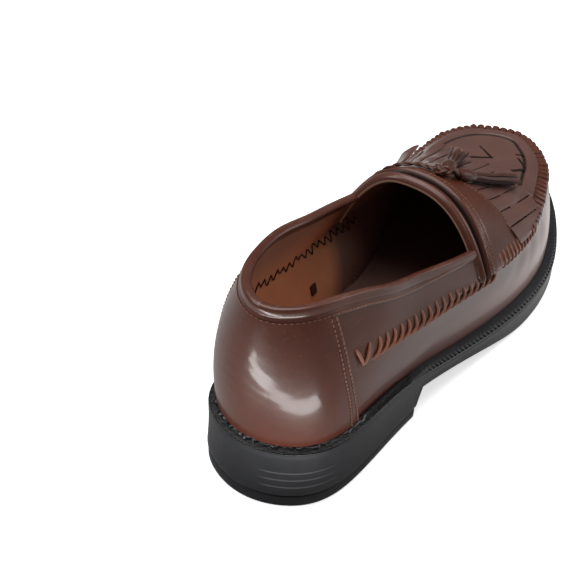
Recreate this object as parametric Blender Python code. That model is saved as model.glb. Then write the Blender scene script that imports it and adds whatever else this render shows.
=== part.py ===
"""Tassel loafer, right shoe, one size 42 dress loafer standing empty on its sole.

+X is the lateral side, +Y the toe, +Z up, and the floor is at z = 0. Sizes are
in millimetres and are scaled to metres where a body is made. The upper, the
panels on it and the seams all come from one function of the last.
"""

import bmesh
import bpy
import numpy as np

MM = 0.001

# Main sizes of the shoe, in millimetres.
LENGTH = 300.0
HEEL_RADIUS = 34.0
TOE_RADIUS = 29.0
REVEAL_HEEL = 5.2
REVEAL_TOE = 6.2
SEAM_BACK = 3.0
SEAM_FRONT = 281.0
SEAM_HEEL_RADIUS = 31.0
SEAM_TOE_RADIUS = 22.0
TOP_BACK = 11.0
TOP_FRONT = 250.0
TOP_HALF = 17.5
WALL = 1.8
GAP = 0.3
THROAT_ALONG = 136.0
THROAT_BOW = 0.002
MEDIAL_RISE = 4.0

# Sole, heel and welt.
LIFT_TOP = 6.5
HEEL_LENGTH = 87.0
BREAST_SLOPE = 4.0
BREAST_HOLLOW = 5.0
EDGE_CHAMFER = 1.2
RIM_ROUND = 1.0
SPINE_BACK = 32.0
SPINE_FRONT = 268.0
INSOLE_THICKNESS = 2.4
INSOLE_CLEARANCE = 0.9

# Underside of the sole in front of the heel: along, height
ARCH = (
    (88, 17.5),
    (111, 13.0),
    (130, 9.3),
    (150, 5.2),
    (170, 1.4),
    (186, 0.0),
    (204, 0.0),
    (222, 0.0),
    (245, 1.0),
    (270, 3.8),
    (300, 9.5),
)

# Grid of the upper: levels of its rows up to the moc seam, then counts.
WALL_LEVELS = (0.0, 0.2, 0.45, 0.7, 0.88, 1.0)
REAR_COLUMNS = 38
VAMP_COLUMNS = 20
APRON_ROWS = 5

# Panels, seams and bindings on the upper.
PANEL = 1.2
COUNTER_TURN_LOW = 43.5
COUNTER_TURN_HIGH = 34.0
BINDING = 0.9
BINDING_WIDTH = 7.0
FOLD_GAP = 0.4
LIP_WIDTH = 5.0
LIP_LEVEL = 1.24
STRAP = 1.6
STRAP_LEVEL = 1.15
STRAP_REAR = (146.0, 0.002)
STRAP_FRONT = (168.0, -0.005)
LACES = 20
LACE_START = 41.0
LACE_END = 92.0
PUCKERS = 54
MOC_TURN = 94.0
MOC_HEIGHT = 3.0
WELT_NOTCHES = 70
WELT_CLEARANCE = 1.0
WELT_LEAN = 1.6
WELT_TURN = 66.0
WELT_HEIGHT = 2.8
WELT_INSET = 0.8
WELT_NOTCH = 0.9

# Fringed tongue: strips over the instep, in front of the strap.
KILTIE = 1.1
KILTIE_STRIPS = 13
KILTIE_SLIT = 0.16
KILTIE_LEVEL = 1.16
KILTIE_ROOT = 7.0
KILTIE_REACH = 25.0
KILTIE_STEP = 4.0

# Woven plug of the apron.
WEAVE_LEVEL = 1.34
WEAVE_REAR = 202.0
WEAVE_COLUMNS = 13
WEAVE_ROWS = 8
WEAVE_RAISED = 0.7

# Tassels and their lace: sections of one tassel from the knot to the ends of
# the strips. share of the length, half width, depth of the cuts
TASSEL = (
    (0.00, 1.8, 0.0),
    (0.10, 2.3, 0.0),
    (0.14, 3.9, 0.0),
    (0.34, 3.9, 0.0),
    (0.38, 3.3, 0.2),
    (0.70, 5.4, 0.8),
    (1.00, 6.6, 1.0),
)
TASSEL_FLAT = 0.68
TASSEL_SIDES = 16
KNOT = (5.2, 4.4, 3.0)
LACE_HALF = (2.0, 1.0)
LACE_ALONG = 154.0
LACE_SPAN = (-30.0, -7.0)
KNOT_PLACE = (-0.5, 160.0)

# Cross sections of the last, a row per section from heel to toe. The turn is
# in degrees round the plan, 0 at the back of the heel and 180 at the toe tip.
# turn, sole edge lateral and medial, moc seam lateral and medial (half widths)
SECTIONS = (
    (20, 24.0, 24.0, 21.0, 21.0),
    (40, 36.0, 34.5, 30.5, 32.0),
    (60, 39.0, 34.0, 35.5, 33.5),
    (75, 43.5, 31.0, 40.5, 34.0),
    (90, 50.8, 32.0, 45.3, 34.5),
    (105, 56.0, 41.0, 46.3, 34.5),
    (120, 53.0, 47.5, 42.3, 35.5),
    (135, 42.5, 46.0, 34.6, 35.0),
    (150, 29.0, 36.0, 25.2, 29.5),
    (165, 14.5, 20.0, 12.3, 16.0),
)

# Heights over the floor round the plan.
# turn, feather line, moc seam, outward bulge of the wall
HEIGHTS = (
    (0, 33.0, 66.0, 0.0),
    (20, 33.0, 66.0, 0.0),
    (40, 32.5, 65.5, 0.0),
    (60, 28.5, 62.5, 0.0),
    (75, 20.0, 59.5, 1.0),
    (90, 14.5, 56.0, 1.5),
    (105, 13.0, 51.0, 2.0),
    (120, 12.5, 47.5, 2.0),
    (135, 13.5, 47.0, 2.0),
    (150, 16.0, 47.0, 2.0),
    (165, 18.5, 47.0, 2.0),
    (180, 20.0, 47.0, 2.0),
)

# Profile of the instep over the middle of the foot: along, height
RIDGE = (
    (12, 112.0),
    (60, 113.0),
    (100, 108.0),
    (132, 94.0),
    (155, 86.0),
    (180, 75.0),
    (209, 63.0),
    (240, 54.5),
    (260, 50.5),
    (281, 47.0),
)

# Height of the collar edge: along, height
TOPLINE = (
    (12, 103.0),
    (40, 99.5),
    (80, 89.5),
    (115, 76.5),
    (142, 68.5),
)


def cubic(knots, values):
    """Natural cubic spline through the values at the knots, held at its ends."""
    knots = np.asarray(knots, float)
    values = np.asarray(values, float)
    count = len(knots)
    step = np.diff(knots)
    matrix = np.eye(count)
    right = np.zeros(count)
    for i in range(1, count - 1):
        matrix[i, i - 1] = step[i - 1]
        matrix[i, i] = 2 * (step[i - 1] + step[i])
        matrix[i, i + 1] = step[i]
        rise = (values[i + 1] - values[i]) / step[i]
        right[i] = 6 * (rise - (values[i] - values[i - 1]) / step[i - 1])
    bend = np.linalg.solve(matrix, right)

    def value(x):
        x = np.clip(np.asarray(x, float), knots[0], knots[-1])
        i = np.clip(np.searchsorted(knots, x) - 1, 0, count - 2)
        after = x - knots[i]
        before = knots[i + 1] - x
        h = step[i]
        curve = (bend[i] * before**3 + bend[i + 1] * after**3) / (6 * h)
        line = (values[i] / h - bend[i] * h / 6) * before
        return curve + line + (values[i + 1] / h - bend[i + 1] * h / 6) * after

    return value


def cubic_round(turns, values):
    """Periodic cubic spline over 360 degrees."""
    turns = np.asarray(turns, float)
    knots = np.concatenate([turns - 360, turns, turns + 360])
    return cubic(knots, np.concatenate([values] * 3))


def smooth(x, start, end):
    """Goes from 0 at start to 1 at end without a corner."""
    t = np.clip((np.asarray(x, float) - start) / (end - start), 0, 1)
    return t * t * t * (t * (6 * t - 15) + 10)


TURN, SOLE_LAT, SOLE_MED, SEAM_LAT, SEAM_MED = np.array(SECTIONS).T


def plan_spread(lateral, medial, heel_radius, toe_radius, span):
    """Half width over sin(turn) as a smooth function of the turn; round ends."""
    sine = np.sin(np.radians(TURN))
    heel = np.sqrt(heel_radius * span / 2)
    toe = np.sqrt(toe_radius * span / 2)
    turns = np.concatenate([-TURN[::-1], [0], TURN, [180]])
    values = np.concatenate([(medial / sine)[::-1], [heel], lateral / sine, [toe]])
    return cubic_round(turns, values)


def both_sides(column):
    """The same height on the lateral and the medial side."""
    rows = np.array(HEIGHTS)
    turns = np.concatenate([-rows[-2:0:-1, 0], rows[:, 0]])
    values = np.concatenate([rows[-2:0:-1, column], rows[:, column]])
    return cubic_round(turns, values)


SEAM_SPAN = SEAM_FRONT - SEAM_BACK
sole_spread = plan_spread(SOLE_LAT, SOLE_MED, HEEL_RADIUS, TOE_RADIUS, LENGTH)
seam_spread = plan_spread(SEAM_LAT, SEAM_MED, SEAM_HEEL_RADIUS, SEAM_TOE_RADIUS, SEAM_SPAN)
feather_height = both_sides(1)
seam_height = both_sides(2)
wall_bulge = both_sides(3)
ridge_height = cubic(*zip(*RIDGE))
topline_height = cubic(*zip(*TOPLINE))
arch_spline = cubic(*zip(*ARCH))


def stacked(x, y, z):
    return np.stack(np.broadcast_arrays(x, y, z), axis=-1)


def sole_edge(turn, inset=0.0):
    """Plan point of the sole edge, moved in by the inset square to the edge."""
    def edge(t):
        r = np.radians(t)
        return sole_spread(t) * np.sin(r), LENGTH * (1 - np.cos(r)) / 2

    x, y = edge(turn)
    ahead_x, ahead_y = edge(turn + 0.05)
    behind_x, behind_y = edge(turn - 0.05)
    dx = ahead_x - behind_x
    dy = ahead_y - behind_y
    size = np.hypot(dx, dy)
    return x - inset * dy / size, y + inset * dx / size


def reveal(turn):
    """Width of the sole's rim outside the upper."""
    return REVEAL_HEEL + (REVEAL_TOE - REVEAL_HEEL) * smooth(np.abs(turn), 60, 110)


def feather_line(turn):
    x, y = sole_edge(turn, reveal(turn))
    return stacked(x, y, feather_height(turn))


def seam_line(turn):
    r = np.radians(turn)
    along = SEAM_BACK + SEAM_SPAN * (1 - np.cos(r)) / 2
    return stacked(seam_spread(turn) * np.sin(r), along, seam_height(turn))


def top_line(turn):
    """Top of the last: a narrow loop over the heel that closes to the ridge."""
    size = np.abs(turn)
    along = TOP_BACK + (TOP_FRONT - TOP_BACK) * (1 - np.cos(np.radians(size))) / 2
    half = TOP_HALF * np.sin(np.radians(np.minimum(size * 1.6, 90))) * (1 - smooth(size, 48, 92))
    return stacked(np.sign(turn) * half, along, ridge_height(along))


def last_point(turn, level):
    """Point of the upper's outer face. Level 0 is the feather line, 1 the moc
    seam, 2 the top of the last. Behind the waist a rib is one smooth curve
    through the three; in front it is a steep wall and a crowned apron with a
    corner at the seam."""
    turn, level = np.broadcast_arrays(np.asarray(turn, float), np.asarray(level, float))
    over = level > 2
    turn = np.where(over, -turn, turn)
    turn = (turn + 180) % 360 - 180
    level = np.where(over, 4 - level, level)[..., None]
    size = np.abs(turn)
    low = feather_line(turn)
    mid = seam_line(turn)
    top = top_line(turn)
    share = ((mid - low)[..., 2:] / (top - low)[..., 2:])
    w = np.where(level <= 1, level * share, share + (level - 1) * (1 - share))
    rear = low * (w - share) * (w - 1) / share
    rear = rear + mid * w * (w - 1) / (share * (share - 1))
    rear = rear + top * w * (w - share) / (1 - share)
    up = np.clip(level, 0, 1)
    lean = mid - low
    outward = lean * np.array([1, 1, 0])
    outward = -outward / np.maximum(np.linalg.norm(outward, axis=-1, keepdims=True), 1e-6)
    rise = np.concatenate([up**1.7, up**1.7, up], axis=-1)
    wall = low + lean * rise + outward * wall_bulge(turn)[..., None] * 4 * up * (1 - up)
    across = np.clip(level - 1, 0, 1)
    plan = mid + (top - mid) * across
    follow = smooth(size, 70, 100)[..., None]
    ridge = top[..., 2:] + (ridge_height(plan[..., 1:2]) - top[..., 2:]) * follow
    foot = top[..., 2:] + (ridge_height(mid[..., 1:2]) - top[..., 2:]) * follow
    power = 1 + 1.4 * smooth(size, 55, 85)[..., None]
    height = ridge - (foot - mid[..., 2:]) * (1 - across) ** power
    apron = np.concatenate([plan[..., :2], height], axis=-1)
    front = np.where(level <= 1, wall, apron)
    blend = smooth(size, 50, 85)[..., None]
    return rear * (1 - blend) + front * blend


def last_normal(turn, level):
    """Outward unit normal of the upper's outer face."""
    turn, level = np.broadcast_arrays(np.asarray(turn, float), np.asarray(level, float))

    def square(t, v):
        along = last_point(t + 0.4, v) - last_point(t - 0.4, v)
        up = last_point(t, v + 0.012) - last_point(t, v - 0.012)
        n = np.cross(along, up)
        return n / np.maximum(np.linalg.norm(n, axis=-1, keepdims=True), 1e-9)

    turn = (turn + 180) % 360 - 180
    level = np.minimum(level, 2.0)
    tip = np.minimum(level, 2 - 0.04 * smooth(np.abs(turn), 150, 178))
    n = square(turn, tip)
    middle = (level > 1.995) | (np.abs(turn) > 179.5)
    n = np.where(middle[..., None], n + square(-turn, tip), n)
    return n / np.maximum(np.linalg.norm(n, axis=-1, keepdims=True), 1e-9)


def halved(low, high, beyond):
    """Bisection: the value between low and high from which beyond() is true."""
    for _ in range(40):
        middle = (low + high) / 2
        past = beyond(middle)
        high = np.where(past, middle, high)
        low = np.where(past, low, middle)
    return (low + high) / 2


def topline_level(turn):
    """Level at which the rib of this turn meets the collar edge."""
    turn = np.asarray(turn, float)
    rise = MEDIAL_RISE * smooth(-turn, 30, 85)

    def above(level):
        p = last_point(turn, level)
        return p[..., 2] > topline_height(p[..., 1]) + rise

    return halved(np.full(turn.shape, 0.6), np.full(turn.shape, 2.0), above)


def turn_at(level, along, bow, side):
    """Turn at which this level crosses the line along - bow * x * x."""
    level = np.asarray(level, float)

    def ahead(turn):
        p = last_point(side * turn, level)
        return p[..., 1] > along - bow * p[..., 0] ** 2

    return side * halved(np.full(level.shape, 50.0), np.full(level.shape, 175.0), ahead)


def throat_turn(level, ahead=0.0, side=1):
    return turn_at(level, THROAT_ALONG + ahead, THROAT_BOW, side)


def corner(side):
    """Turn and level where the collar edge meets the throat edge."""
    def past(turn):
        p = last_point(turn, topline_level(turn))
        return p[..., 1] > THROAT_ALONG - THROAT_BOW * p[..., 0] ** 2

    turn = side * halved(np.array(55.0), np.array(100.0), lambda t: past(side * t))
    return float(turn), float(topline_level(turn))


def offset_face(turn, level, offset):
    """The upper's outer face moved out by the offset (in, where negative)."""
    return last_point(turn, level) + last_normal(turn, level) * np.asarray(offset)[..., None]


def sole_turns():
    """Turns at which the sole is cut, the same on both sides so that they meet."""
    ends = 1 - 2 * np.array([HEEL_LENGTH, HEEL_LENGTH + BREAST_SLOPE]) / LENGTH
    breast, waist = np.degrees(np.arccos(ends))
    half = np.concatenate([np.linspace(0, breast, 9), np.linspace(waist, 180, 22)])
    return np.concatenate([-half[:0:-1], half])


EDGE_X, EDGE_Y = sole_edge(sole_turns())
CENTRE = np.array([(EDGE_X.max() + EDGE_X.min()) / 2, (EDGE_Y.max() + EDGE_Y.min()) / 2, 0.0])


def strips_between(first, second, ring=False):
    """Faces that close a solid between two grids of points of the same size."""
    edges = [np.stack([first[0], second[0]]), np.stack([first[-1], second[-1]])]
    if not ring:
        edges.append(np.stack([first[:, 0], second[:, 0]]))
        edges.append(np.stack([first[:, -1], second[:, -1]]))
    return [first, second] + edges


def build(name, patches, fills=()):
    """One closed body from grids of points; each fill is a loop of points that
    gets a single flat face. Points in the same place become one."""
    points = []
    faces = []
    start = 0
    for patch in patches:
        rows, columns = patch.shape[:2]
        index = start + np.arange(rows * columns).reshape(rows, columns)
        corners = [index[:-1, :-1], index[:-1, 1:], index[1:, 1:], index[1:, :-1]]
        faces += np.stack(corners, axis=-1).reshape(-1, 4).tolist()
        points.append(patch.reshape(-1, 3))
        start += rows * columns
    for loop in fills:
        faces.append(list(range(start, start + len(loop))))
        points.append(np.asarray(loop))
        start += len(loop)
    points = np.concatenate(points)
    _, first, place = np.unique(
        np.round(points, 4), axis=0, return_index=True, return_inverse=True
    )
    place = place.reshape(-1)
    kept = []
    for face in faces:
        shared = place[face].tolist()
        shared = [v for v, before in zip(shared, shared[-1:] + shared[:-1]) if v != before]
        if len(set(shared)) > 2:
            kept.append(shared)
    mesh = bpy.data.meshes.new(name)
    mesh.from_pydata(((points[first] - CENTRE) * MM).tolist(), [], kept)
    form = bmesh.new()
    form.from_mesh(mesh)
    bmesh.ops.recalc_face_normals(form, faces=form.faces)
    bmesh.ops.triangulate(form, faces=form.faces)
    form.to_mesh(mesh)
    form.free()
    obj = bpy.data.objects.new(name, mesh)
    bpy.context.scene.collection.objects.link(obj)
    return obj


def overlay(name, turn, level, thickness, gap=GAP, ring=False):
    """A shell over the upper: its two faces are the upper's own outer face
    moved out by the gap and by the gap and the thickness."""
    turn, level = np.broadcast_arrays(turn, level)
    low = offset_face(turn, level, np.full(turn.shape, gap))
    high = offset_face(turn, level, gap + np.broadcast_to(thickness, turn.shape))
    return build(name, strips_between(low, high, ring))


def upper_grids(offset):
    """Three grids that cover the upper: round the heel to the collar edge, and
    the lateral and the medial half of the vamp from the throat to the toe."""
    wall = np.array(WALL_LEVELS)
    turns = {side: corner(side)[0] for side in (1, -1)}
    edges = {side: corner(side)[1] for side in (1, -1)}
    rows = {side: np.append(wall, edges[side]) for side in (1, -1)}
    climb = np.linspace(0, 1, APRON_ROWS + 1)[1:]
    levels = {side: np.append(rows[side], edges[side] + (2 - edges[side]) * climb) for side in (1, -1)}
    at_toe = (levels[1] + levels[-1]) / 2
    share = np.linspace(0, 1, VAMP_COLUMNS + 1)
    halves = []
    for side in (1, -1):
        start = np.where(levels[side] > edges[side], throat_turn(levels[side], 0.0, side), turns[side])
        turn = start[:, None] + (side * 180 - start[:, None]) * share
        halves.append((turn, levels[side][:, None] + (at_toe - levels[side])[:, None] * share))
    turn = np.linspace(turns[-1], turns[1], REAR_COLUMNS + 1)
    share = np.linspace(0, 1, REAR_COLUMNS + 1)
    medial = rows[-1][:, None] / rows[-1][-1]
    lateral = rows[1][:, None] / rows[1][-1]
    level = (medial + (lateral - medial) * share) * topline_level(turn)
    grids = [(turn, level)] + halves
    faces = []
    for turn, level in grids:
        turn, level = np.broadcast_arrays(turn, level)
        faces.append(offset_face(turn, level, np.full(turn.shape, offset)))
    return faces


def make_upper():
    """The hollow shoe: outer and inner face a wall apart, joined at the collar
    and throat edge and at the feather edge, where the sole closes it."""
    outer = upper_grids(0.0)
    inner = upper_grids(-WALL)
    patches = outer + inner
    for out, within in zip(outer, inner):
        out[0, :, 2] = sole_top(out[0, :, 1]) + GAP
        within[0, :, 2] = sole_top(within[0, :, 1]) + GAP
        patches.append(np.stack([out[0], within[0]]))
    corner_row = len(WALL_LEVELS)
    patches.append(np.stack([outer[0][-1], inner[0][-1]]))
    for out, within in zip(outer[1:], inner[1:]):
        patches.append(np.stack([out[corner_row:, 0], within[corner_row:, 0]]))
    return build("upper", patches)


def arch_height(along):
    return np.maximum(arch_spline(along), 0.0)


def sole_top(along):
    """Height of the sole's top face at this distance from the heel."""
    turn = np.degrees(np.arccos(np.clip(1 - 2 * np.asarray(along) / LENGTH, -1, 1)))
    return feather_height(turn)


def plan_disc(turns, shares, inset):
    """Plan points from the sole edge (share 1) in to the middle line (share 0)."""
    x, y = sole_edge(turns, inset)
    middle = np.clip(LENGTH * (1 - np.cos(np.radians(turns))) / 2, SPINE_BACK, SPINE_FRONT)
    size = np.degrees(np.arccos(np.clip(1 - 2 * middle / LENGTH, -1, 1)))
    right, _ = sole_edge(size, inset)
    left, _ = sole_edge(-size, inset)
    centre = (right + left) / 2
    return centre + (x - centre) * shares, middle + (y - middle) * shares


def make_outsole():
    """Unit sole: rim, waist and forefoot with the arch and toe spring under it,
    and the heel block down to its tread."""
    turns = sole_turns()
    shares = np.array([1.0, 0.6, 0.25, 0.0])[:, None]
    top_x, top_y = plan_disc(turns, shares, RIM_ROUND)
    top = stacked(top_x, top_y, sole_top(top_y))
    edge_x, edge_y = sole_edge(turns)
    heel = edge_y < HEEL_LENGTH + 0.5
    x, y = plan_disc(turns, shares, EDGE_CHAMFER)
    z = np.where(heel, LIFT_TOP + GAP, arch_height(y))
    hollow = BREAST_HOLLOW * np.exp(-(((edge_y - HEEL_LENGTH) / 25.0) ** 2))
    bottom = stacked(x, y - hollow * (1 - shares**2), z)
    shoulder = stacked(edge_x, edge_y, sole_top(edge_y) - RIM_ROUND)
    foot = stacked(edge_x, edge_y, np.where(heel, LIFT_TOP + GAP, arch_height(edge_y)) + EDGE_CHAMFER)
    side = np.stack([top[0], shoulder, foot, bottom[0]])
    return build("outsole", [top, bottom, side])


def heel_loop(inset):
    """Plan outline of the heel's tread, with its hollowed front edge."""
    end = np.degrees(np.arccos(1 - 2 * HEEL_LENGTH / LENGTH))
    turns = np.linspace(-end, end, 25)
    x, y = sole_edge(turns, inset)
    across = np.linspace(1, -1, 7)[1:-1]
    front_x = (x[-1] + x[0]) / 2 + across * (x[-1] - x[0]) / 2
    front_y = y[-1] - BREAST_HOLLOW * (1 - across**2)
    return np.concatenate([x, front_x]), np.concatenate([y, front_y])


def make_heel_lift():
    rings = []
    for inset, height in ((0.6 + EDGE_CHAMFER, 0.0), (0.6, EDGE_CHAMFER), (0.6, LIFT_TOP)):
        x, y = heel_loop(inset)
        ring = stacked(x, y, height)
        rings.append(np.concatenate([ring, ring[:1]]))
    return build("heel_top_lift", [np.stack(rings)], [rings[0][:-1], rings[-1][:-1]])


def make_insole():
    turns = sole_turns()
    shares = np.array([1.0, 0.45, 0.0])[:, None]
    inset = reveal(turns) + WALL + INSOLE_CLEARANCE
    x, y = plan_disc(turns, shares, inset)
    low = stacked(x, y, sole_top(y) + GAP)
    high = stacked(x, y, sole_top(y) + GAP + INSOLE_THICKNESS)
    return build("insole", [low, high, np.stack([low[0], high[0]])])


def even_turns(line, start, stop, count):
    """Turns from start to stop at even steps of length along a line."""
    turns = np.linspace(start, stop, 721)
    points = line(turns)
    length = np.linalg.norm(np.diff(points, axis=0), axis=1)
    run = np.concatenate([[0], np.cumsum(length)])
    return np.interp(np.linspace(0, run[-1], count), run, turns)


def level_drop(turn, level, distance):
    """Level this distance below, measured along the rib."""
    step = np.linalg.norm(last_point(turn, level) - last_point(turn, level - 0.05), axis=-1)
    return level - 0.05 * distance / step


def make_welt():
    """Storm welt on the rim from the waist round the toe, notched outside."""
    def edge(turn):
        return np.stack(sole_edge(turn), axis=-1)

    count = 2 * WELT_NOTCHES + 1
    turns = even_turns(edge, WELT_TURN, 360 - WELT_TURN, count)
    depth = WELT_INSET + WELT_NOTCH * (np.arange(count) % 2)
    lean = WELT_LEAN * smooth(turns, 250, 280)
    inner_x, inner_y = sole_edge(turns, reveal(turns) - WELT_CLEARANCE - lean)
    outer_x, outer_y = sole_edge(turns, depth)
    base = sole_top(inner_y) + GAP
    rim = sole_top(outer_y) + GAP
    ring = [
        stacked(inner_x, inner_y, base),
        stacked(outer_x, outer_y, rim),
        stacked(outer_x, outer_y, rim + WELT_HEIGHT - 0.6),
        stacked(inner_x, inner_y, base + WELT_HEIGHT),
    ]
    section = np.stack(ring + ring[:1])
    return build("welt", [section], [section[:-1, 0], section[:-1, -1]])


def make_counter():
    """Counter panel round the heel, from the rim to under the collar binding."""
    across = np.linspace(-1, 1, 17)
    rise = np.linspace(0, 1, 8)[:, None]
    turn = across * (COUNTER_TURN_LOW + (COUNTER_TURN_HIGH - COUNTER_TURN_LOW) * rise)
    top = topline_level(turn)
    top = level_drop(turn, top, BINDING_WIDTH + 1.0)
    return overlay("heel_counter", turn, 0.05 + (top - 0.05) * rise, PANEL)


def rolled_edge(name, turn, level, below_turn, below_level):
    """A strip folded over an edge of the upper. Its outer face starts below the
    edge, rolls over it and ends the same way inside."""
    edge = last_point(turn, level)
    normal = last_normal(turn, level)
    low = last_point(below_turn, below_level)
    low_normal = last_normal(below_turn, below_level)
    up = edge - low
    up = up / np.linalg.norm(up, axis=-1, keepdims=True)
    inside = -WALL - FOLD_GAP
    outside = FOLD_GAP
    rows = [
        low + low_normal * (outside + BINDING),
        edge + normal * (outside + BINDING) + up * 0.3,
        edge + normal * 0.2 + up * (FOLD_GAP + BINDING),
        edge + normal * (-WALL - 0.2) + up * (FOLD_GAP + BINDING),
        edge + normal * (inside - BINDING) + up * 0.3,
        low + low_normal * (inside - BINDING),
        low + low_normal * inside,
        edge + normal * inside + up * FOLD_GAP,
        edge + normal * outside + up * FOLD_GAP,
        low + low_normal * outside,
    ]
    section = np.stack(rows + rows[:1])
    return build(name, [section], [section[:-1, 0], section[:-1, -1]])


def binding_width(turn):
    """Width of the collar binding, less where the collar nears the lacing."""
    return BINDING_WIDTH - 2.6 * smooth(np.abs(turn), 62, 84)


def make_collar_binding():
    turn = np.linspace(corner(-1)[0], corner(1)[0], REAR_COLUMNS + 1)[1:-1]
    level = topline_level(turn)
    return rolled_edge("collar_binding", turn, level, turn, level_drop(turn, level, binding_width(turn)))


def over_instep(share, low):
    """Level and side along a line over the instep; share goes from -1 at the
    low level on the lateral side over 0 at the ridge to 1 on the medial side."""
    return 2 - np.abs(share) * (2 - low), np.where(share < 0, 1, -1)


def turn_across(level, side, along, bow):
    lateral = turn_at(level, along, bow, 1)
    return np.where(side > 0, lateral, turn_at(level, along, bow, -1))


def make_throat_lip():
    level, side = over_instep(np.linspace(-1, 1, 19), LIP_LEVEL)
    edge = turn_across(level, side, THROAT_ALONG, THROAT_BOW)
    behind = turn_across(level, side, THROAT_ALONG + LIP_WIDTH, THROAT_BOW)
    return rolled_edge("throat_lip", edge, level, behind, level)


def make_strap():
    """Plain strap over the instep between its rear and its front line."""
    level, side = over_instep(np.linspace(-1, 1, 23), STRAP_LEVEL)
    rear = turn_across(level, side, *STRAP_REAR)
    front = turn_across(level, side, *STRAP_FRONT)
    share = np.linspace(0, 1, 4)[:, None]
    return overlay("strap", rear + (front - rear) * share, level + 0 * share, STRAP)


def make_kiltie():
    """Fringed tongue in front of the strap: a root band and strips fused to it,
    with slits between them and every second end stepped back."""
    width = 2.0 / KILTIE_STRIPS
    starts = -1 + width * (np.arange(KILTIE_STRIPS) + KILTIE_SLIT / 2)
    stops = starts + width * (1 - KILTIE_SLIT)
    thirds = np.stack([starts, (starts + stops) / 2, stops], axis=1)

    def faces(share, aheads):
        level, side = over_instep(share, KILTIE_LEVEL)
        along, bow = STRAP_FRONT
        turn = np.stack([turn_across(level, side, along + ahead, bow) for ahead in aheads])
        level = level + 0 * turn
        low = offset_face(turn, level, np.full(turn.shape, GAP))
        return low, offset_face(turn, level, np.full(turn.shape, GAP + KILTIE))

    low, high = faces(thirds.reshape(-1), (0.5, KILTIE_ROOT))
    patches = [low, high, np.stack([low[0], high[0]])]
    patches += [np.stack([low[:, i], high[:, i]]) for i in (0, -1)]
    for i in range(KILTIE_STRIPS - 1):
        slit = slice(3 * i + 2, 3 * i + 4)
        patches.append(np.stack([low[1, slit], high[1, slit]]))
    for i in range(KILTIE_STRIPS):
        reach = KILTIE_REACH - KILTIE_STEP * (i % 2)
        low, high = faces(thirds[i], (KILTIE_ROOT, (KILTIE_ROOT + reach) / 2, reach))
        patches += [low, high, np.stack([low[-1], high[-1]])]
        patches += [np.stack([low[:, j], high[:, j]]) for j in (0, -1)]
    return build("kiltie", patches)


def make_moc_seam():
    """Puckered ridge where the wall meets the apron, round the toe from one
    end of the strap to the other."""
    count = 2 * PUCKERS + 1
    turn = even_turns(seam_line, MOC_TURN, 360 - MOC_TURN, count)
    crest = np.where(np.arange(count) % 2 == 0, 0.0, 1.0)
    level = np.stack([0.86 - 0.03 * crest, 1.0 + 0 * crest, 1.09 + 0.02 * crest])
    height = np.stack([0.5 + 0.5 * crest, MOC_HEIGHT * (0.6 + 0.4 * crest), 0.5 + 0.5 * crest])
    return overlay("moc_seam", turn + 0 * level, level, height)


def make_lacing(name, side):
    """Laced seam along the quarter: a raised ribbon with a toothed edge."""
    count = 2 * LACES + 1
    turn = side * even_turns(seam_line, LACE_START, LACE_END, count)
    tooth = np.where(np.arange(count) % 2 == 0, 0.0, 1.0)
    level = np.stack([0.90 - 0.05 * tooth, 1.0 + 0 * tooth, 1.03 + 0.04 * tooth])
    height = np.stack([0.4 + 0.6 * tooth, 1.0 + 0.6 * tooth, 0.4 + 0.6 * tooth])
    return overlay(name, turn + 0 * level, level, height)


def make_woven_panel():
    """Woven plug of the apron: one wall with the strips of the weave raised.
    Its two halves meet along the ridge and in front, at the toe."""
    share = np.linspace(-1, 1, WEAVE_COLUMNS)
    depth = np.linspace(0, 1, WEAVE_ROWS)[:, None]
    level, side = over_instep(share, WEAVE_LEVEL)
    rear = np.abs(turn_across(level, side, WEAVE_REAR, 0.0))
    turn = side * (rear + (180 - rear) * depth)
    level = level + 0 * turn
    raised = (np.arange(WEAVE_COLUMNS) + np.arange(WEAVE_ROWS)[:, None]) % 2
    raised[:, WEAVE_COLUMNS // 2 + 1 :] = raised[:, WEAVE_COLUMNS // 2 - 1 :: -1]
    low = offset_face(turn, level, np.full(turn.shape, GAP))
    high = offset_face(turn, level, GAP + PANEL + WEAVE_RAISED * raised)
    edges = [np.stack([low[0], high[0]])]
    edges += [np.stack([low[:, i], high[:, i]]) for i in (0, -1)]
    return build("woven_panel", [low, high] + edges)


def vamp_point(x, along, offset):
    """Point over the vamp at this place in plan, out by the offset."""
    side = 1 if x > 0 else -1

    def inside(level):
        turn = turn_at(level, along, 0.0, side)
        return np.abs(last_point(turn, level)[..., 0]) < abs(x)

    level = halved(np.array(1.0), np.array(2.0), inside)
    turn = turn_at(level, along, 0.0, side)
    return offset_face(turn, level, np.asarray(offset, float))


def tube(name, path, up, half_width, half_height, cuts, sides):
    """A body along a path: lobed, flattened sections, closed at both ends."""
    ahead = np.gradient(path, axis=0)
    ahead = ahead / np.linalg.norm(ahead, axis=1, keepdims=True)
    right = np.cross(ahead, up)
    right = right / np.linalg.norm(right, axis=1, keepdims=True)
    above = np.cross(right, ahead)
    angle = np.linspace(0, 2 * np.pi, sides + 1)[:, None, None]
    lobe = 1 - (cuts / half_width)[:, None] * (np.arange(sides + 1)[:, None, None] % 2)
    around = right * half_width[:, None] * np.cos(angle) * lobe
    around = around + above * half_height[:, None] * np.sin(angle) * lobe
    skin = path + around
    skin[-1] = skin[0]
    return build(name, [skin], [skin[:-1, 0], skin[:-1, -1]])


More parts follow.
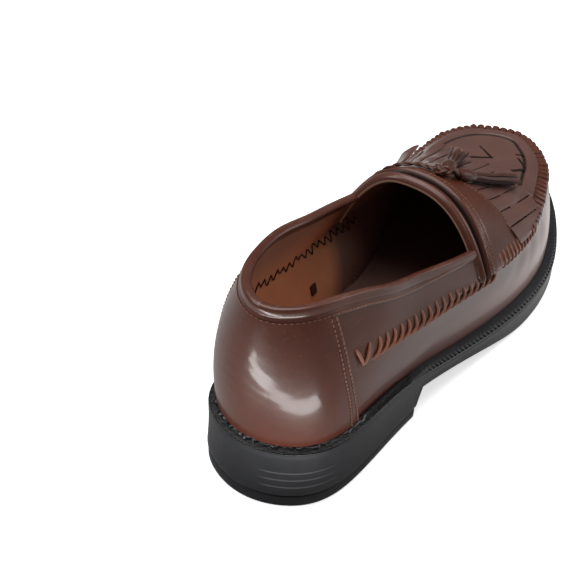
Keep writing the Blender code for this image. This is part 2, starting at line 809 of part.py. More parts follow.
def make_tassel(name, start, end, lift):
    """Tassel lying on the fringe: neck, collar band and cut strips."""
    share, half, cuts = np.array(TASSEL).T
    plan = np.array(start) + (np.array(end) - np.array(start)) * share[:, None]
    low = KILTIE + 2 * GAP
    heights = np.maximum(low + half * TASSEL_FLAT + 0.2, lift * (1 - share / 0.3))
    path = np.array([vamp_point(x, y, h) for (x, y), h in zip(plan, heights)])
    up = np.tile([0.0, 0.0, 1.0], (len(path), 1))
    return tube(name, path, up, half, half * TASSEL_FLAT, cuts, TASSEL_SIDES)


def make_knot():
    """Knot of the lace on the strap."""
    t = np.linspace(-0.96, 0.96, 7)
    round_off = np.sqrt(1 - t**2)
    centre = vamp_point(*KNOT_PLACE, STRAP + 2 * GAP + KNOT[2])
    path = centre + np.stack([KNOT[0] * t, 0 * t, -0.04 * KNOT[0] * t], axis=1)
    up = np.tile([0.0, 0.0, 1.0], (len(path), 1))
    cuts = 0.5 * round_off
    return tube("tassel_knot", path, up, KNOT[1] * round_off, KNOT[2] * round_off, cuts, 12)


def make_lace():
    """Flat lace on the strap from its medial end to the knot."""
    xs = np.linspace(*LACE_SPAN, 9)
    path = np.array([vamp_point(x, LACE_ALONG, STRAP + 2 * GAP + LACE_HALF[1]) for x in xs])
    up = np.gradient(path, axis=0)
    up = np.cross(np.array([0.0, 1.0, 0.0]), up)
    up = up * np.sign(up[:, 2:])
    wide = np.full(len(path), LACE_HALF[0])
    return tube("lace", path, up, wide, np.full(len(path), LACE_HALF[1]), 0 * wide, 8)


for startup in list(bpy.data.objects):
    bpy.data.objects.remove(startup)
make_upper()
make_outsole()
make_heel_lift()
make_welt()
make_insole()
make_counter()
make_collar_binding()
make_throat_lip()
make_lacing("lacing_lateral", 1)
make_lacing("lacing_medial", -1)
make_moc_seam()
make_woven_panel()
make_strap()
make_kiltie()
make_lace()
make_knot()
make_tassel("tassel_lateral", (3.0, 166.5), (25.0, 200.0), 7.0)
make_tassel("tassel_medial", (-3.0, 166.5), (-10.0, 200.5), 7.0)
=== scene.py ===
"""Right tassel loafer, dressed: every leather, rubber, lining and thread surface
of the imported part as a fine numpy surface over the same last.

+X is the lateral side, +Y the toe, +Z up, and the floor is at z = 0. Sizes are in
millimetres and are scaled to metres where a mesh is made. A place on the upper is
a turn in degrees round the plan, 0 at the back of the heel, and a level: 0 at the
feather line, 1 at the moc seam, 2 at the ridge of the instep.
"""

import bmesh
import bpy
import numpy as np
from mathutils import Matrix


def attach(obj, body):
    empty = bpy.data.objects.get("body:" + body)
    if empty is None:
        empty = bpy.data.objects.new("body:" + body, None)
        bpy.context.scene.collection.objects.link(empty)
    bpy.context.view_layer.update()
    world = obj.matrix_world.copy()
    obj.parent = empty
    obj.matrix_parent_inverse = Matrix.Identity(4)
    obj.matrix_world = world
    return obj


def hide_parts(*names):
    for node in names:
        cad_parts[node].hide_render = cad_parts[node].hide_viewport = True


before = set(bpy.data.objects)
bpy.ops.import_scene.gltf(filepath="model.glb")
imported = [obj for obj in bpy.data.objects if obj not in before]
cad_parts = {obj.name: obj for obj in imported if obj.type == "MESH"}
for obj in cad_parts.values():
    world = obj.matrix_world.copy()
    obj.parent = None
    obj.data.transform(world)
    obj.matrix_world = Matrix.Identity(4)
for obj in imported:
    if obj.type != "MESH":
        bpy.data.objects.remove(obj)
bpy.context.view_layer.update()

MM = 0.001
SHARP_ANGLE = 50.0

# Main sizes of the shoe, in millimetres.
LENGTH = 300.0
CENTRE_X = 4.00368
HEEL_RADIUS = 34.0
TOE_RADIUS = 29.0
REVEAL_HEEL = 5.2
REVEAL_TOE = 6.2
SEAM_BACK = 3.0
SEAM_FRONT = 281.0
SEAM_HEEL_RADIUS = 31.0
SEAM_TOE_RADIUS = 22.0
TOP_BACK = 11.0
TOP_FRONT = 250.0
TOP_HALF = 17.5
WALL = 1.8
GAP = 0.3
THROAT_ALONG = 136.0
THROAT_BOW = 0.002
MEDIAL_RISE = 4.0

# Sole, heel and insole.
LIFT_TOP = 6.5
HEEL_LENGTH = 87.0
BREAST_SLOPE = 4.0
BREAST_HOLLOW = 5.0
EDGE_CHAMFER = 1.2
SPINE_BACK = 32.0
SPINE_FRONT = 268.0
INSOLE_THICKNESS = 2.4
INSOLE_LIFT = 1.6
SHOULDER_DROP = 1.1
SIDE_HOLLOW = 0.35

# Rim from the foot of the upper outwards: inset from the upper's edge, height
RIM_LEDGE = ((2.0, -0.6), (0.2, 0.3), (-0.3, 0.9), (-0.9, 1.15), (-1.6, 1.0), (-2.3, 0.55), (-3.1, 0.3))

# Round shoulder of the rim: inset from the sole's edge, height
RIM_SHOULDER = ((1.1, 0.2), (0.55, 0.0), (0.18, -0.45), (0.0, -SHOULDER_DROP))

# Rings of the heel's tread from the floor up: inset, height
TREAD_RINGS = ((1.8, 0.0), (0.9, 0.35), (0.6, 1.2), (0.6, 5.6), (0.9, 6.2), (1.6, 6.6))

# Bead of glue round the heel: turns of its ends, and steps along it.
GLUE_TURNS = (-78.0, 64.0)
GLUE_FADE = 28.0
GLUE_STEPS = 341
GLUE_SPACING = 3
GLUE_SEED = 11

# Underside of the sole in front of the heel: along, height
ARCH = (
    (88, 17.5),
    (111, 13.0),
    (130, 9.3),
    (150, 5.2),
    (170, 1.4),
    (186, 0.0),
    (204, 0.0),
    (222, 0.0),
    (245, 1.0),
    (270, 3.8),
    (300, 9.5),
)

# Panels, seams and bindings on the upper.
# A stitch is its pitch, length and radius; a bead or groove its place, width, height.
PANEL = 1.2
COUNTER_TURN_LOW = 43.5
COUNTER_TURN_HIGH = 34.0
COUNTER_HALF = 52.0
COUNTER_ROWS = (1.7, 4.8)
COUNTER_STITCH = (2.3, 1.7, 0.38)
BINDING = 0.9
BINDING_WIDTH = 7.0
BINDING_RETURN = 6.0
BEAD_HEIGHT = 0.85
COLLAR_STITCH = (2.4, 1.8, 0.22)
ROLL_HEIGHT = 1.1
ROLL_ROWS = 12
LIP_WIDTH = 3.8
LIP_REACH = 6.6
LIP_RETURN = 7.0
LIP_HEIGHT = 2.2
LIP_MIDDLE = 1.7
LIP_HALF = 2.15
LIP_SHADE = 0.64
LIP_TRIM = 7
LIP_LEVEL = 0.965
STRAP = 1.6
STRAP_LEVEL = 0.98
STRAP_REAR = (144.6, 0.0046)
STRAP_FRONT = (168.0, -0.005)
STRAP_ROWS = (2.0, 4.4)
STRAP_CORD = 4.4
STRAP_BEAD = (2.0, 1.5, 1.3)
STRAP_GROOVE = (4.5, 0.6, 0.8)
STRAP_STITCH = (2.1, 1.55, 0.2)
LACES = 20
LACE_START = 41.0
LACE_END = 92.0
LACING_HALF = 0.10
THONG_LEVELS = (-0.12, 0.105)
THONG_HEIGHT = 1.55
THONG_HALF = 0.85
TAB_TURN = -71.5
TAB_LEVELS = (0.34, 0.48)
PUCKERS = 74
MOC_TURN = 89.0
MOC_HEIGHT = 1.7
MOC_WIDTH = 6.4
MOC_WALL = 0.13
MOC_THREAD_END = 114.0
NOTCHES = 158
WELT_LEAN = 1.6
WELT_TURN = 60.0
WELT_INSET = 0.8
WELT_NOTCH = 1.3
WELT_TAPER = 9.0
WELT_HEIGHT = 2.3

# Parts of a level by which the lateral collar lies lower: dips are turn, width, depth
COLLAR_EASE = 0.018
COLLAR_DIPS = ((59.5, 13.0, 0.075), (66.0, 8.5, 0.03))

# Creases of the forefoot wall: turn, width and depth
FLEX_CREASES = ((100.0, 2.6, 0.30), (107.0, 2.1, 0.25), (115.0, 2.6, 0.22))
CREASE_SLANT = 14.0
SAG_TURN = 62.0
SAG_DEPTH = 0.5
UNEVEN = 0.12

# Apron: smooth border and woven plug.
BORDER_LATERAL = 124.0
BORDER_MEDIAL = 118.0
BORDER_INSET = 6.0
BORDER_WIDTH = 7.4
BORDER_THICK = 1.5
PLUG_INSET = 11.0
WEAVE_REAR = 188.0
WEAVE_CORNER = (4.8, 232.7)
WEAVE_STRIP = 12.7
WEAVE_ANGLE = 55.0
WEAVE_TOP = 1.3
WEAVE_DIP = 0.16

# Painted shadow in the slits of the plug: plan places of both ends, width at each
WEAVE_SLIT_SHADOWS = (
    ((-6.7, 243.4), (4.8, 232.7), 0.9, 1.7),
    ((-3.2, 222.0), (4.8, 232.7), 2.2, 1.5),
    ((14.5, 247.0), (22.5, 239.4), 1.4, 1.7),
    ((18.5, 228.0), (22.5, 239.4), 2.0, 1.4),
    ((12.0, 250.0), (15.3, 254.0), 1.2, 1.2),
)

# Fringed tongue in front of the strap.
# The curl is given by strip number, from the medial side to the lateral one.
KILTIE = 0.9
KILTIE_STRIPS = 13
KILTIE_SLIT = 0.10
KILTIE_SPAN = (-36.0, 46.0)
KILTIE_END = 219.0
KILTIE_STEP = 6.0
KILTIE_SLANT = 4.5
KILTIE_CURL = ((0, 1, 2, 3, 6, 12), (3.6, 2.2, 2.6, 1.0, 0.2, 0.1))

# Tassels and their lace: share of the length, half width
TASSEL_HALF = ((0.0, 1.6), (0.1, 2.0), (0.14, 3.5), (0.32, 3.5), (0.36, 3.1), (0.7, 3.8), (1.0, 4.4))
TASSEL_FLAT = 0.8
TASSEL_STRIPS = 18
TASSEL_SWAY = 1.3
STRIP_HALF = (0.95, 0.36)
LACE_ALONG = 154.0
LACE_SPAN = (-34.0, 6.0)
LACE_WINDS = 4.5
KNOT_PLACE = (6.5, 156.5)
KNOT_SCALE = (1.15, 1.05, 1.0)

# Each tassel: name, plan places of its ends, lift over the strap, seed, fray
TASSELS = (
    ("tassel_lateral", (9.5, 158.5), (25.0, 206.0), 7.0, 3, 0.1),
    ("tassel_medial", (6.0, 162.0), (-4.5, 207.0), 7.0, 5, 0.9),
)

# Cross sections of the last, a row per section from heel to toe.
# turn, sole edge lateral and medial, moc seam lateral and medial (half widths)
SECTIONS = (
    (20, 24.0, 24.0, 21.0, 21.0),
    (40, 36.0, 34.5, 30.5, 32.0),
    (60, 39.0, 34.0, 35.5, 33.5),
    (75, 43.5, 31.0, 40.5, 34.0),
    (90, 50.8, 32.0, 45.3, 34.5),
    (105, 56.0, 41.0, 46.3, 34.5),
    (120, 53.0, 47.5, 42.3, 35.5),
    (135, 42.5, 46.0, 34.6, 35.0),
    (150, 29.0, 36.0, 25.2, 29.5),
    (165, 14.5, 20.0, 12.3, 16.0),
)

# Heights over the floor round the plan.
# turn, feather line, moc seam, outward bulge of the wall
HEIGHTS = (
    (0, 33.0, 66.0, 0.0),
    (20, 33.0, 66.0, 0.0),
    (40, 32.5, 65.5, 0.0),
    (60, 28.5, 62.5, 0.0),
    (75, 20.0, 59.5, 1.0),
    (90, 14.5, 56.0, 1.5),
    (105, 13.0, 51.0, 2.0),
    (120, 12.5, 47.5, 2.0),
    (135, 13.5, 47.0, 2.0),
    (150, 16.0, 47.0, 2.0),
    (165, 18.5, 47.0, 2.0),
    (180, 20.0, 47.0, 2.0),
)

# Profile of the instep over the middle of the foot: along, height
RIDGE = (
    (12, 112.0),
    (60, 113.0),
    (100, 108.0),
    (132, 94.0),
    (155, 86.0),
    (180, 75.0),
    (209, 63.0),
    (240, 54.5),
    (260, 50.5),
    (281, 47.0),
)

# Height of the collar edge: along, height
TOPLINE = (
    (12, 103.0),
    (40, 99.5),
    (80, 89.5),
    (115, 76.5),
    (142, 68.5),
)


def cubic(knots, values):
    """Natural cubic spline through the values at the knots, held at its ends."""
    knots = np.asarray(knots, float)
    values = np.asarray(values, float)
    count = len(knots)
    step = np.diff(knots)
    matrix = np.eye(count)
    right = np.zeros(count)
    for i in range(1, count - 1):
        matrix[i, i - 1] = step[i - 1]
        matrix[i, i] = 2 * (step[i - 1] + step[i])
        matrix[i, i + 1] = step[i]
        rise = (values[i + 1] - values[i]) / step[i]
        right[i] = 6 * (rise - (values[i] - values[i - 1]) / step[i - 1])
    bend = np.linalg.solve(matrix, right)

    def value(x):
        x = np.clip(np.asarray(x, float), knots[0], knots[-1])
        i = np.clip(np.searchsorted(knots, x) - 1, 0, count - 2)
        after = x - knots[i]
        before = knots[i + 1] - x
        h = step[i]
        curve = (bend[i] * before**3 + bend[i + 1] * after**3) / (6 * h)
        line = (values[i] / h - bend[i] * h / 6) * before
        return curve + line + (values[i + 1] / h - bend[i + 1] * h / 6) * after

    return value


def cubic_round(turns, values):
    """Periodic cubic spline over 360 degrees."""
    turns = np.asarray(turns, float)
    knots = np.concatenate([turns - 360, turns, turns + 360])
    return cubic(knots, np.concatenate([values] * 3))


def smooth(x, start, end):
    """Goes from 0 at start to 1 at end without a corner."""
    t = np.clip((np.asarray(x, float) - start) / (end - start), 0, 1)
    return t * t * t * (t * (6 * t - 15) + 10)


TURN, SOLE_LAT, SOLE_MED, SEAM_LAT, SEAM_MED = np.array(SECTIONS).T


def plan_spread(lateral, medial, heel_radius, toe_radius, span):
    """Half width over sin(turn) as a smooth function of the turn; round ends."""
    sine = np.sin(np.radians(TURN))
    heel = np.sqrt(heel_radius * span / 2)
    toe = np.sqrt(toe_radius * span / 2)
    turns = np.concatenate([-TURN[::-1], [0], TURN, [180]])
    values = np.concatenate([(medial / sine)[::-1], [heel], lateral / sine, [toe]])
    return cubic_round(turns, values)


def both_sides(column):
    """The same height on the lateral and the medial side."""
    rows = np.array(HEIGHTS)
    turns = np.concatenate([-rows[-2:0:-1, 0], rows[:, 0]])
    values = np.concatenate([rows[-2:0:-1, column], rows[:, column]])
    return cubic_round(turns, values)


SEAM_SPAN = SEAM_FRONT - SEAM_BACK
sole_spread = plan_spread(SOLE_LAT, SOLE_MED, HEEL_RADIUS, TOE_RADIUS, LENGTH)
seam_spread = plan_spread(SEAM_LAT, SEAM_MED, SEAM_HEEL_RADIUS, SEAM_TOE_RADIUS, SEAM_SPAN)
feather_height = both_sides(1)
seam_height = both_sides(2)
wall_bulge = both_sides(3)
ridge_height = cubic(*zip(*RIDGE))
topline_height = cubic(*zip(*TOPLINE))
arch_spline = cubic(*zip(*ARCH))


def stacked(x, y, z):
    """Points from three grids of coordinates."""
    return np.stack(np.broadcast_arrays(x, y, z), axis=-1)


def sole_edge(turn, inset=0.0):
    """Plan point of the sole edge, moved in by the inset square to the edge."""
    def edge(t):
        r = np.radians(t)
        return sole_spread(t) * np.sin(r), LENGTH * (1 - np.cos(r)) / 2

    x, y = edge(turn)
    ahead_x, ahead_y = edge(turn + 0.05)
    behind_x, behind_y = edge(turn - 0.05)
    dx = ahead_x - behind_x
    dy = ahead_y - behind_y
    size = np.hypot(dx, dy)
    return x - inset * dy / size, y + inset * dx / size


def reveal(turn):
    """Width of the sole's rim outside the upper."""
    return REVEAL_HEEL + (REVEAL_TOE - REVEAL_HEEL) * smooth(np.abs(turn), 60, 110)


def feather_line(turn):
    """Line where the upper meets the rim of the sole."""
    x, y = sole_edge(turn, reveal(turn))
    return stacked(x, y, feather_height(turn))


def seam_line(turn):
    """Line of the moc seam and, behind it, of the laced seam."""
    r = np.radians(turn)
    along = SEAM_BACK + SEAM_SPAN * (1 - np.cos(r)) / 2
    return stacked(seam_spread(turn) * np.sin(r), along, seam_height(turn))


def top_line(turn):
    """Top of the last: a narrow loop over the heel that closes to the ridge."""
    size = np.abs(turn)
    along = TOP_BACK + (TOP_FRONT - TOP_BACK) * (1 - np.cos(np.radians(size))) / 2
    half = TOP_HALF * np.sin(np.radians(np.minimum(size * 1.6, 90))) * (1 - smooth(size, 48, 92))
    return stacked(np.sign(turn) * half, along, ridge_height(along))


def last_point(turn, level):
    """Point of the upper's outer face. Level 0 is the feather line, 1 the moc
    seam, 2 the top of the last. Behind the waist a rib is one smooth curve
    through the three; in front it is a steep wall and a crowned apron with a
    corner at the seam."""
    turn, level = np.broadcast_arrays(np.asarray(turn, float), np.asarray(level, float))
    over = level > 2
    turn = np.where(over, -turn, turn)
    turn = (turn + 180) % 360 - 180
    level = np.where(over, 4 - level, level)[..., None]
    size = np.abs(turn)
    low = feather_line(turn)
    mid = seam_line(turn)
    top = top_line(turn)
    share = ((mid - low)[..., 2:] / (top - low)[..., 2:])
    w = np.where(level <= 1, level * share, share + (level - 1) * (1 - share))
    rear = low * (w - share) * (w - 1) / share
    rear = rear + mid * w * (w - 1) / (share * (share - 1))
    rear = rear + top * w * (w - share) / (1 - share)
    up = np.clip(level, 0, 1)
    lean = mid - low
    outward = lean * np.array([1, 1, 0])
    outward = -outward / np.maximum(np.linalg.norm(outward, axis=-1, keepdims=True), 1e-6)
    rise = np.concatenate([up**1.7, up**1.7, up], axis=-1)
    wall = low + lean * rise + outward * wall_bulge(turn)[..., None] * 4 * up * (1 - up)
    across = np.clip(level - 1, 0, 1)
    plan = mid + (top - mid) * across
    follow = smooth(size, 70, 100)[..., None]
    ridge = top[..., 2:] + (ridge_height(plan[..., 1:2]) - top[..., 2:]) * follow
    foot = top[..., 2:] + (ridge_height(mid[..., 1:2]) - top[..., 2:]) * follow
    power = 1 + 1.4 * smooth(size, 55, 85)[..., None]
    height = ridge - (foot - mid[..., 2:]) * (1 - across) ** power
    apron = np.concatenate([plan[..., :2], height], axis=-1)
    front = np.where(level <= 1, wall, apron)
    blend = smooth(size, 50, 85)[..., None]
    return rear * (1 - blend) + front * blend


def last_normal(turn, level):
    """Outward unit normal of the upper's outer face."""
    turn, level = np.broadcast_arrays(np.asarray(turn, float), np.asarray(level, float))

    def square(t, v):
        along = last_point(t + 0.4, v) - last_point(t - 0.4, v)
        up = last_point(t, v + 0.012) - last_point(t, v - 0.012)
        n = np.cross(along, up)
        return n / np.maximum(np.linalg.norm(n, axis=-1, keepdims=True), 1e-9)

    turn = (turn + 180) % 360 - 180
    level = np.minimum(level, 2.0)
    tip = np.minimum(level, 2 - 0.04 * smooth(np.abs(turn), 150, 178))
    n = square(turn, tip)
    middle = (level > 1.995) | (np.abs(turn) > 179.5)
    n = np.where(middle[..., None], n + square(-turn, tip), n)
    return n / np.maximum(np.linalg.norm(n, axis=-1, keepdims=True), 1e-9)


def halved(low, high, beyond):
    """Bisection: the value between low and high from which beyond() is true."""
    for _ in range(40):
        middle = (low + high) / 2
        past = beyond(middle)
        high = np.where(past, middle, high)
        low = np.where(past, low, middle)
    return (low + high) / 2


def topline_level(turn):
    """Level at which the rib of this turn meets the collar edge."""
    turn = np.asarray(turn, float)
    rise = MEDIAL_RISE * smooth(-turn, 30, 85)

    def above(level):
        p = last_point(turn, level)
        return p[..., 2] > topline_height(p[..., 1]) + rise

    edge = halved(np.full(turn.shape, 0.6), np.full(turn.shape, 2.0), above)
    dip = COLLAR_EASE * smooth(turn, 30, 46)
    for middle, width, depth in COLLAR_DIPS:
        dip = dip + depth * bell(turn, middle, width)
    return edge - dip


def turn_at(level, along, bow, side):
    """Turn at which this level crosses the line along - bow * x * x."""
    level = np.asarray(level, float)

    def ahead(turn):
        p = last_point(side * turn, level)
        return p[..., 1] > along - bow * p[..., 0] ** 2

    return side * halved(np.full(level.shape, 50.0), np.full(level.shape, 175.0), ahead)


def corner(side):
    """Turn and level where the collar edge meets the throat edge."""
    def past(turn):
        p = last_point(turn, topline_level(turn))
        return p[..., 1] > THROAT_ALONG - THROAT_BOW * p[..., 0] ** 2

    turn = side * halved(np.array(55.0), np.array(100.0), lambda t: past(side * t))
    return float(turn), float(topline_level(turn))


def offset_face(turn, level, offset):
    """The upper's outer face moved out by the offset (in, where negative)."""
    return last_point(turn, level) + last_normal(turn, level) * np.asarray(offset)[..., None]


CENTRE = np.array([CENTRE_X, LENGTH / 2, 0.0])


def arch_height(along):
    """Height of the sole's underside in front of the heel."""
    return np.maximum(arch_spline(along), 0.0)


def sole_top(along):
    """Height of the sole's top face at this distance from the heel."""
    turn = np.degrees(np.arccos(np.clip(1 - 2 * np.asarray(along) / LENGTH, -1, 1)))
    return feather_height(turn)


def plan_disc(turns, shares, inset):
    """Plan points from the sole edge (share 1) in to the middle line (share 0)."""
    x, y = sole_edge(turns, inset)
    middle = np.clip(LENGTH * (1 - np.cos(np.radians(turns))) / 2, SPINE_BACK, SPINE_FRONT)
    size = np.degrees(np.arccos(np.clip(1 - 2 * middle / LENGTH, -1, 1)))
    right, _ = sole_edge(size, inset)
    left, _ = sole_edge(-size, inset)
    centre = (right + left) / 2
    return centre + (x - centre) * shares, middle + (y - middle) * shares


def even_turns(line, start, stop, count):
    """Turns from start to stop at even steps of length along a line."""
    turns = np.linspace(start, stop, 721)
    points = line(turns)
    length = np.linalg.norm(np.diff(points, axis=0), axis=1)
    run = np.concatenate([[0], np.cumsum(length)])
    return np.interp(np.linspace(0, run[-1], count), run, turns)


def level_drop(turn, level, distance):
    """Level this distance below, measured along the rib."""
    step = np.linalg.norm(last_point(turn, level) - last_point(turn, level - 0.05), axis=-1)
    return level - 0.05 * distance / step


def over_instep(share, low):
    """Level and side along a line over the instep; share goes from -1 at the low
    level on the lateral side over 0 at the ridge to 1 on the medial side."""
    return 2 - np.abs(share) * (2 - low), np.where(share < 0, 1, -1)


def turn_across(level, side, along, bow):
    """Turn at which a line over the instep is met on the given side."""
    lateral = turn_at(level, along, bow, 1)
    return np.where(side > 0, lateral, turn_at(level, along, bow, -1))


def unit(v):
    """Vectors of length 1."""
    return v / np.maximum(np.linalg.norm(v, axis=-1, keepdims=True), 1e-9)


def bell(x, middle, width):
    """Bell curve of height 1 about the middle."""
    return np.exp(-(((np.asarray(x, float) - middle) / width) ** 2))


def rib_reach(turn):
    """Plan length of a rib of the vamp, from the moc seam to the ridge."""
    top = top_line((turn + 180) % 360 - 180)
    return np.linalg.norm((seam_line(turn) - top)[..., :2], axis=-1)


def vamp_places(x, along):
    """Turn and level of plan places on the vamp. In front of the throat a rib is
    straight in plan from the moc seam to the ridge, so the part of it that is
    passed gives the turn; the part whose half width is this x is found by halving."""
    x = np.asarray(x, float)
    side = np.where(x >= 0, 1.0, -1.0)

    def turn_of(part):
        back = SEAM_BACK + (TOP_BACK - SEAM_BACK) * part
        span = SEAM_SPAN + (TOP_FRONT - TOP_BACK - SEAM_SPAN) * part
        return side * np.degrees(np.arccos(np.clip(1 - 2 * (along - back) / span, -1, 1)))

    def inside(part):
        turn = turn_of(part)
        half = np.abs(seam_spread(turn) * np.sin(np.radians(turn))) * (1 - part)
        return half < np.maximum(np.abs(x), 0.001)

    part = halved(np.zeros(x.shape), np.ones(x.shape), inside)
    return turn_of(part), 1 + part


# Meshes from grids of points.


def add_piece(name, patches, materials, nodes):
    """One mesh from grids of points. A patch is its points, a dict of values that
    become point attributes, and the number of its material. Points in the same
    place become one and a quad that collapses becomes a triangle."""
    keys = sorted({key for _, values, _ in patches for key in values})
    points = []
    quads = []
    numbers = []
    kept = {key: [] for key in keys}
    start = 0
    for grid, values, number in patches:
        shape = grid.shape[:-1]
        index = start + np.arange(int(np.prod(shape))).reshape((-1,) + shape[-2:])
        ring = [index[:, :-1, :-1], index[:, :-1, 1:], index[:, 1:, 1:], index[:, 1:, :-1]]
        quads.append(np.stack(ring, axis=-1).reshape(-1, 4))
        numbers.append(np.full(len(quads[-1]), number))
        points.append(grid.reshape(-1, 3))
        for key in keys:
            kept[key].append(np.broadcast_to(values.get(key, 0.0), shape).reshape(-1))
        start += index.size
    points = np.concatenate(points)
    quads = np.concatenate(quads)
    numbers = np.concatenate(numbers)
    _, first, place = np.unique(np.round(points, 3), axis=0, return_index=True, return_inverse=True)
    quads = place.reshape(-1)[quads]
    same = quads == np.roll(quads, -1, axis=1)
    whole = ~same.any(axis=1)
    three = same.sum(axis=1) == 1
    faces = quads[whole].tolist() + quads[three][~same[three]].reshape(-1, 3).tolist()
    numbers = np.concatenate([numbers[whole], numbers[three]])
    mesh = bpy.data.meshes.new(name)
    mesh.from_pydata(((points[first] - CENTRE) * MM).tolist(), [], faces)
    for key in keys:
        attribute = mesh.attributes.new(key, "FLOAT", "POINT")
        attribute.data.foreach_set("value", np.concatenate(kept[key])[first].astype(np.float32))
    for material in materials:
        mesh.materials.append(material)
    mesh.polygons.foreach_set("material_index", numbers.astype(np.int32))
    mesh.polygons.foreach_set("use_smooth", np.ones(len(faces), bool))
    form = bmesh.new()
    form.from_mesh(mesh)
    bmesh.ops.recalc_face_normals(form, faces=form.faces)
    form.to_mesh(mesh)
    form.free()
    mesh.set_sharp_from_angle(angle=np.radians(SHARP_ANGLE))
    piece = bpy.data.objects.new(name, mesh)
    bpy.context.scene.collection.objects.link(piece)
    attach(piece, "root")
    if nodes:
        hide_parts(*nodes)


def shell(turn, level, top, bottom, values=None):
    """Patches of a closed skin over the last: its two faces are the last's outer
    face moved out by the bottom and by the top offset, joined at their edges."""
    turn, level = np.broadcast_arrays(turn, level)
    low = offset_face(turn, level, np.broadcast_to(bottom, turn.shape))
    high = offset_face(turn, level, np.broadcast_to(top, turn.shape))
    patches = [(high, values or {}, 0), (low, {}, 0)]
    for edge in (0, -1):
        patches.append((np.stack([low[edge], high[edge]]), {}, 0))
        patches.append((np.stack([low[:, edge], high[:, edge]]), {}, 0))
    return patches


def tubes(path, up, half_width, half_height, sides=8, square=1.0):
    """Sections carried along paths of shape (..., cuts, 3): ellipses, or boxier
    ones where square is under 1, closed at both ends by a point."""
    ahead = unit(np.gradient(path, axis=-2))
    right = unit(np.cross(ahead, np.broadcast_to(up, path.shape)))
    above = np.cross(right, ahead)
    angle = np.linspace(0, 2 * np.pi, sides + 1)
    c = np.sign(np.cos(angle)) * np.abs(np.cos(angle)) ** square
    s = np.sign(np.sin(angle)) * np.abs(np.sin(angle)) ** square
    wide = np.broadcast_to(half_width, path.shape[:-1])[..., None] * c
    tall = np.broadcast_to(half_height, path.shape[:-1])[..., None] * s
    ring = path[..., None, :] + right[..., None, :] * wide[..., None]
    ring = ring + above[..., None, :] * tall[..., None]
    ring[..., -1, :] = ring[..., 0, :]
    first = np.broadcast_to(path[..., :1, None, :], ring[..., :1, :, :].shape)
    last = np.broadcast_to(path[..., -1:, None, :], ring[..., -1:, :, :].shape)
    return np.concatenate([first, ring, last], axis=-3)


def along_line(line, places):
    """Points at these lengths along a line of points."""
    step = np.linalg.norm(np.diff(line, axis=0), axis=1)
    run = np.concatenate([[0], np.cumsum(step)])
    return np.stack([np.interp(places, run, line[:, i]) for i in range(3)], axis=-1)


def stitches(line, normal, pitch, length, radius):
    """A row of stitches along a line: each is a short bar, round at its ends,
    that rises from the leather and goes back into it."""
    total = np.linalg.norm(np.diff(line, axis=0), axis=1).sum()
    count = max(2, int(total / pitch))
    middle = (np.arange(count) + 0.5) * total / count
    centre = along_line(line, middle)
    ahead = unit(along_line(line, middle + 0.4) - along_line(line, middle - 0.4))
    run = np.linspace(0, 1, len(line))
    share = np.interp(middle, np.linspace(0, total, len(line)), run)
    up = unit(np.stack([np.interp(share, run, normal[:, i]) for i in range(3)], axis=-1))
    t = np.linspace(-1, 1, 5)
    path = centre[:, None] + ahead[:, None] * (t * length / 2)[:, None]
    path = path + up[:, None] * (radius * (0.7 - 1.1 * t**4))[:, None]
    wide = radius * (1 - 0.5 * t**4)
    return tubes(path, up[:, None], wide, wide, 6)


# Materials.

# Tones, as linear colours.
BASE = (0.088, 0.0242, 0.0130)
DEEP = (0.060, 0.0163, 0.0088)
# Painted glow: a warmer tone laid next to the sole and on the tops of the moc seam's pads, where the rim
# value is set.
GLOW_TONE = (0.125, 0.032, 0.019)
PALE = (0.24, 0.13, 0.085)
# Painted sheen: a greyish tone on the lower wall of the forefoot that stands in for a reflection.
FOREFOOT_SHEEN = (0.27, 0.18, 0.165)
# Painted sheen: greyer tones of the leather on the vamp, standing in for a reflection.
VAMP_SHEEN_BASE = (0.116, 0.056, 0.045)
VAMP_SHEEN_DEEP = (0.088, 0.041, 0.033)
BINDING_BASE = (0.108, 0.041, 0.029)
BINDING_PALE = (0.40, 0.27, 0.20)
TASSEL_BASE = (0.070, 0.027, 0.019)
THONG_BASE = (0.31, 0.128, 0.082)
THONG_DEEP = (0.21, 0.084, 0.054)
CORD_BASE = (0.05, 0.022, 0.016)
CORD_DEEP = (0.03, 0.013, 0.010)
THREAD_BASE = (0.27, 0.115, 0.065)
THREAD_DEEP = (0.17, 0.07, 0.04)
GLUE_BLACK = (0.003, 0.003, 0.004)
GLUE_WORN = (0.02, 0.02, 0.02)
RUBBER_BLACK = (0.009, 0.0095, 0.012)
RUBBER_GREY = (0.014, 0.0147, 0.019)
TAN = (0.52, 0.236, 0.122)
TAN_DEEP = (0.41, 0.175, 0.088)
CLOTH_BROWN = (0.21, 0.112, 0.088)
CLOTH_DEEP = (0.075, 0.040, 0.033)
FLOOR_ASIDE = (0.33, 0.31, 0.30)
STUDIO = (0.105, 0.10, 0.096)

# Fine ribs on the back of the heel, in metres over the floor.
RIB_START = 0.0125
RIB_PITCH = 0.0042
RIB_END = 0.0225

# Where leather turns to cloth inside the shoe: place along it and softness, in metres.
LINING_SEAM = (-0.035, 0.012)
INSOLE_SEAM = (-0.05, 0.004)


def put(tree, socket, value):
    """Links a socket to another one, or sets its value."""
    if isinstance(value, bpy.types.NodeSocket):
        tree.links.new(value, socket)
    else:
        socket.default_value = value


def add(tree, kind, inputs=None, **settings):
    """A node with its settings, and its inputs linked or set."""
    item = tree.nodes.new(kind)
    for key, value in settings.items():
        setattr(item, key, value)
    for key, value in (inputs or {}).items():
        put(tree, item.inputs[key], value)
    return item


def reckon(tree, operation, first, second=0.5, third=0.5):
    """A value from one arithmetic step."""
    inputs = {0: first, 1: second, 2: third}
    return add(tree, "ShaderNodeMath", inputs, operation=operation).outputs[0]


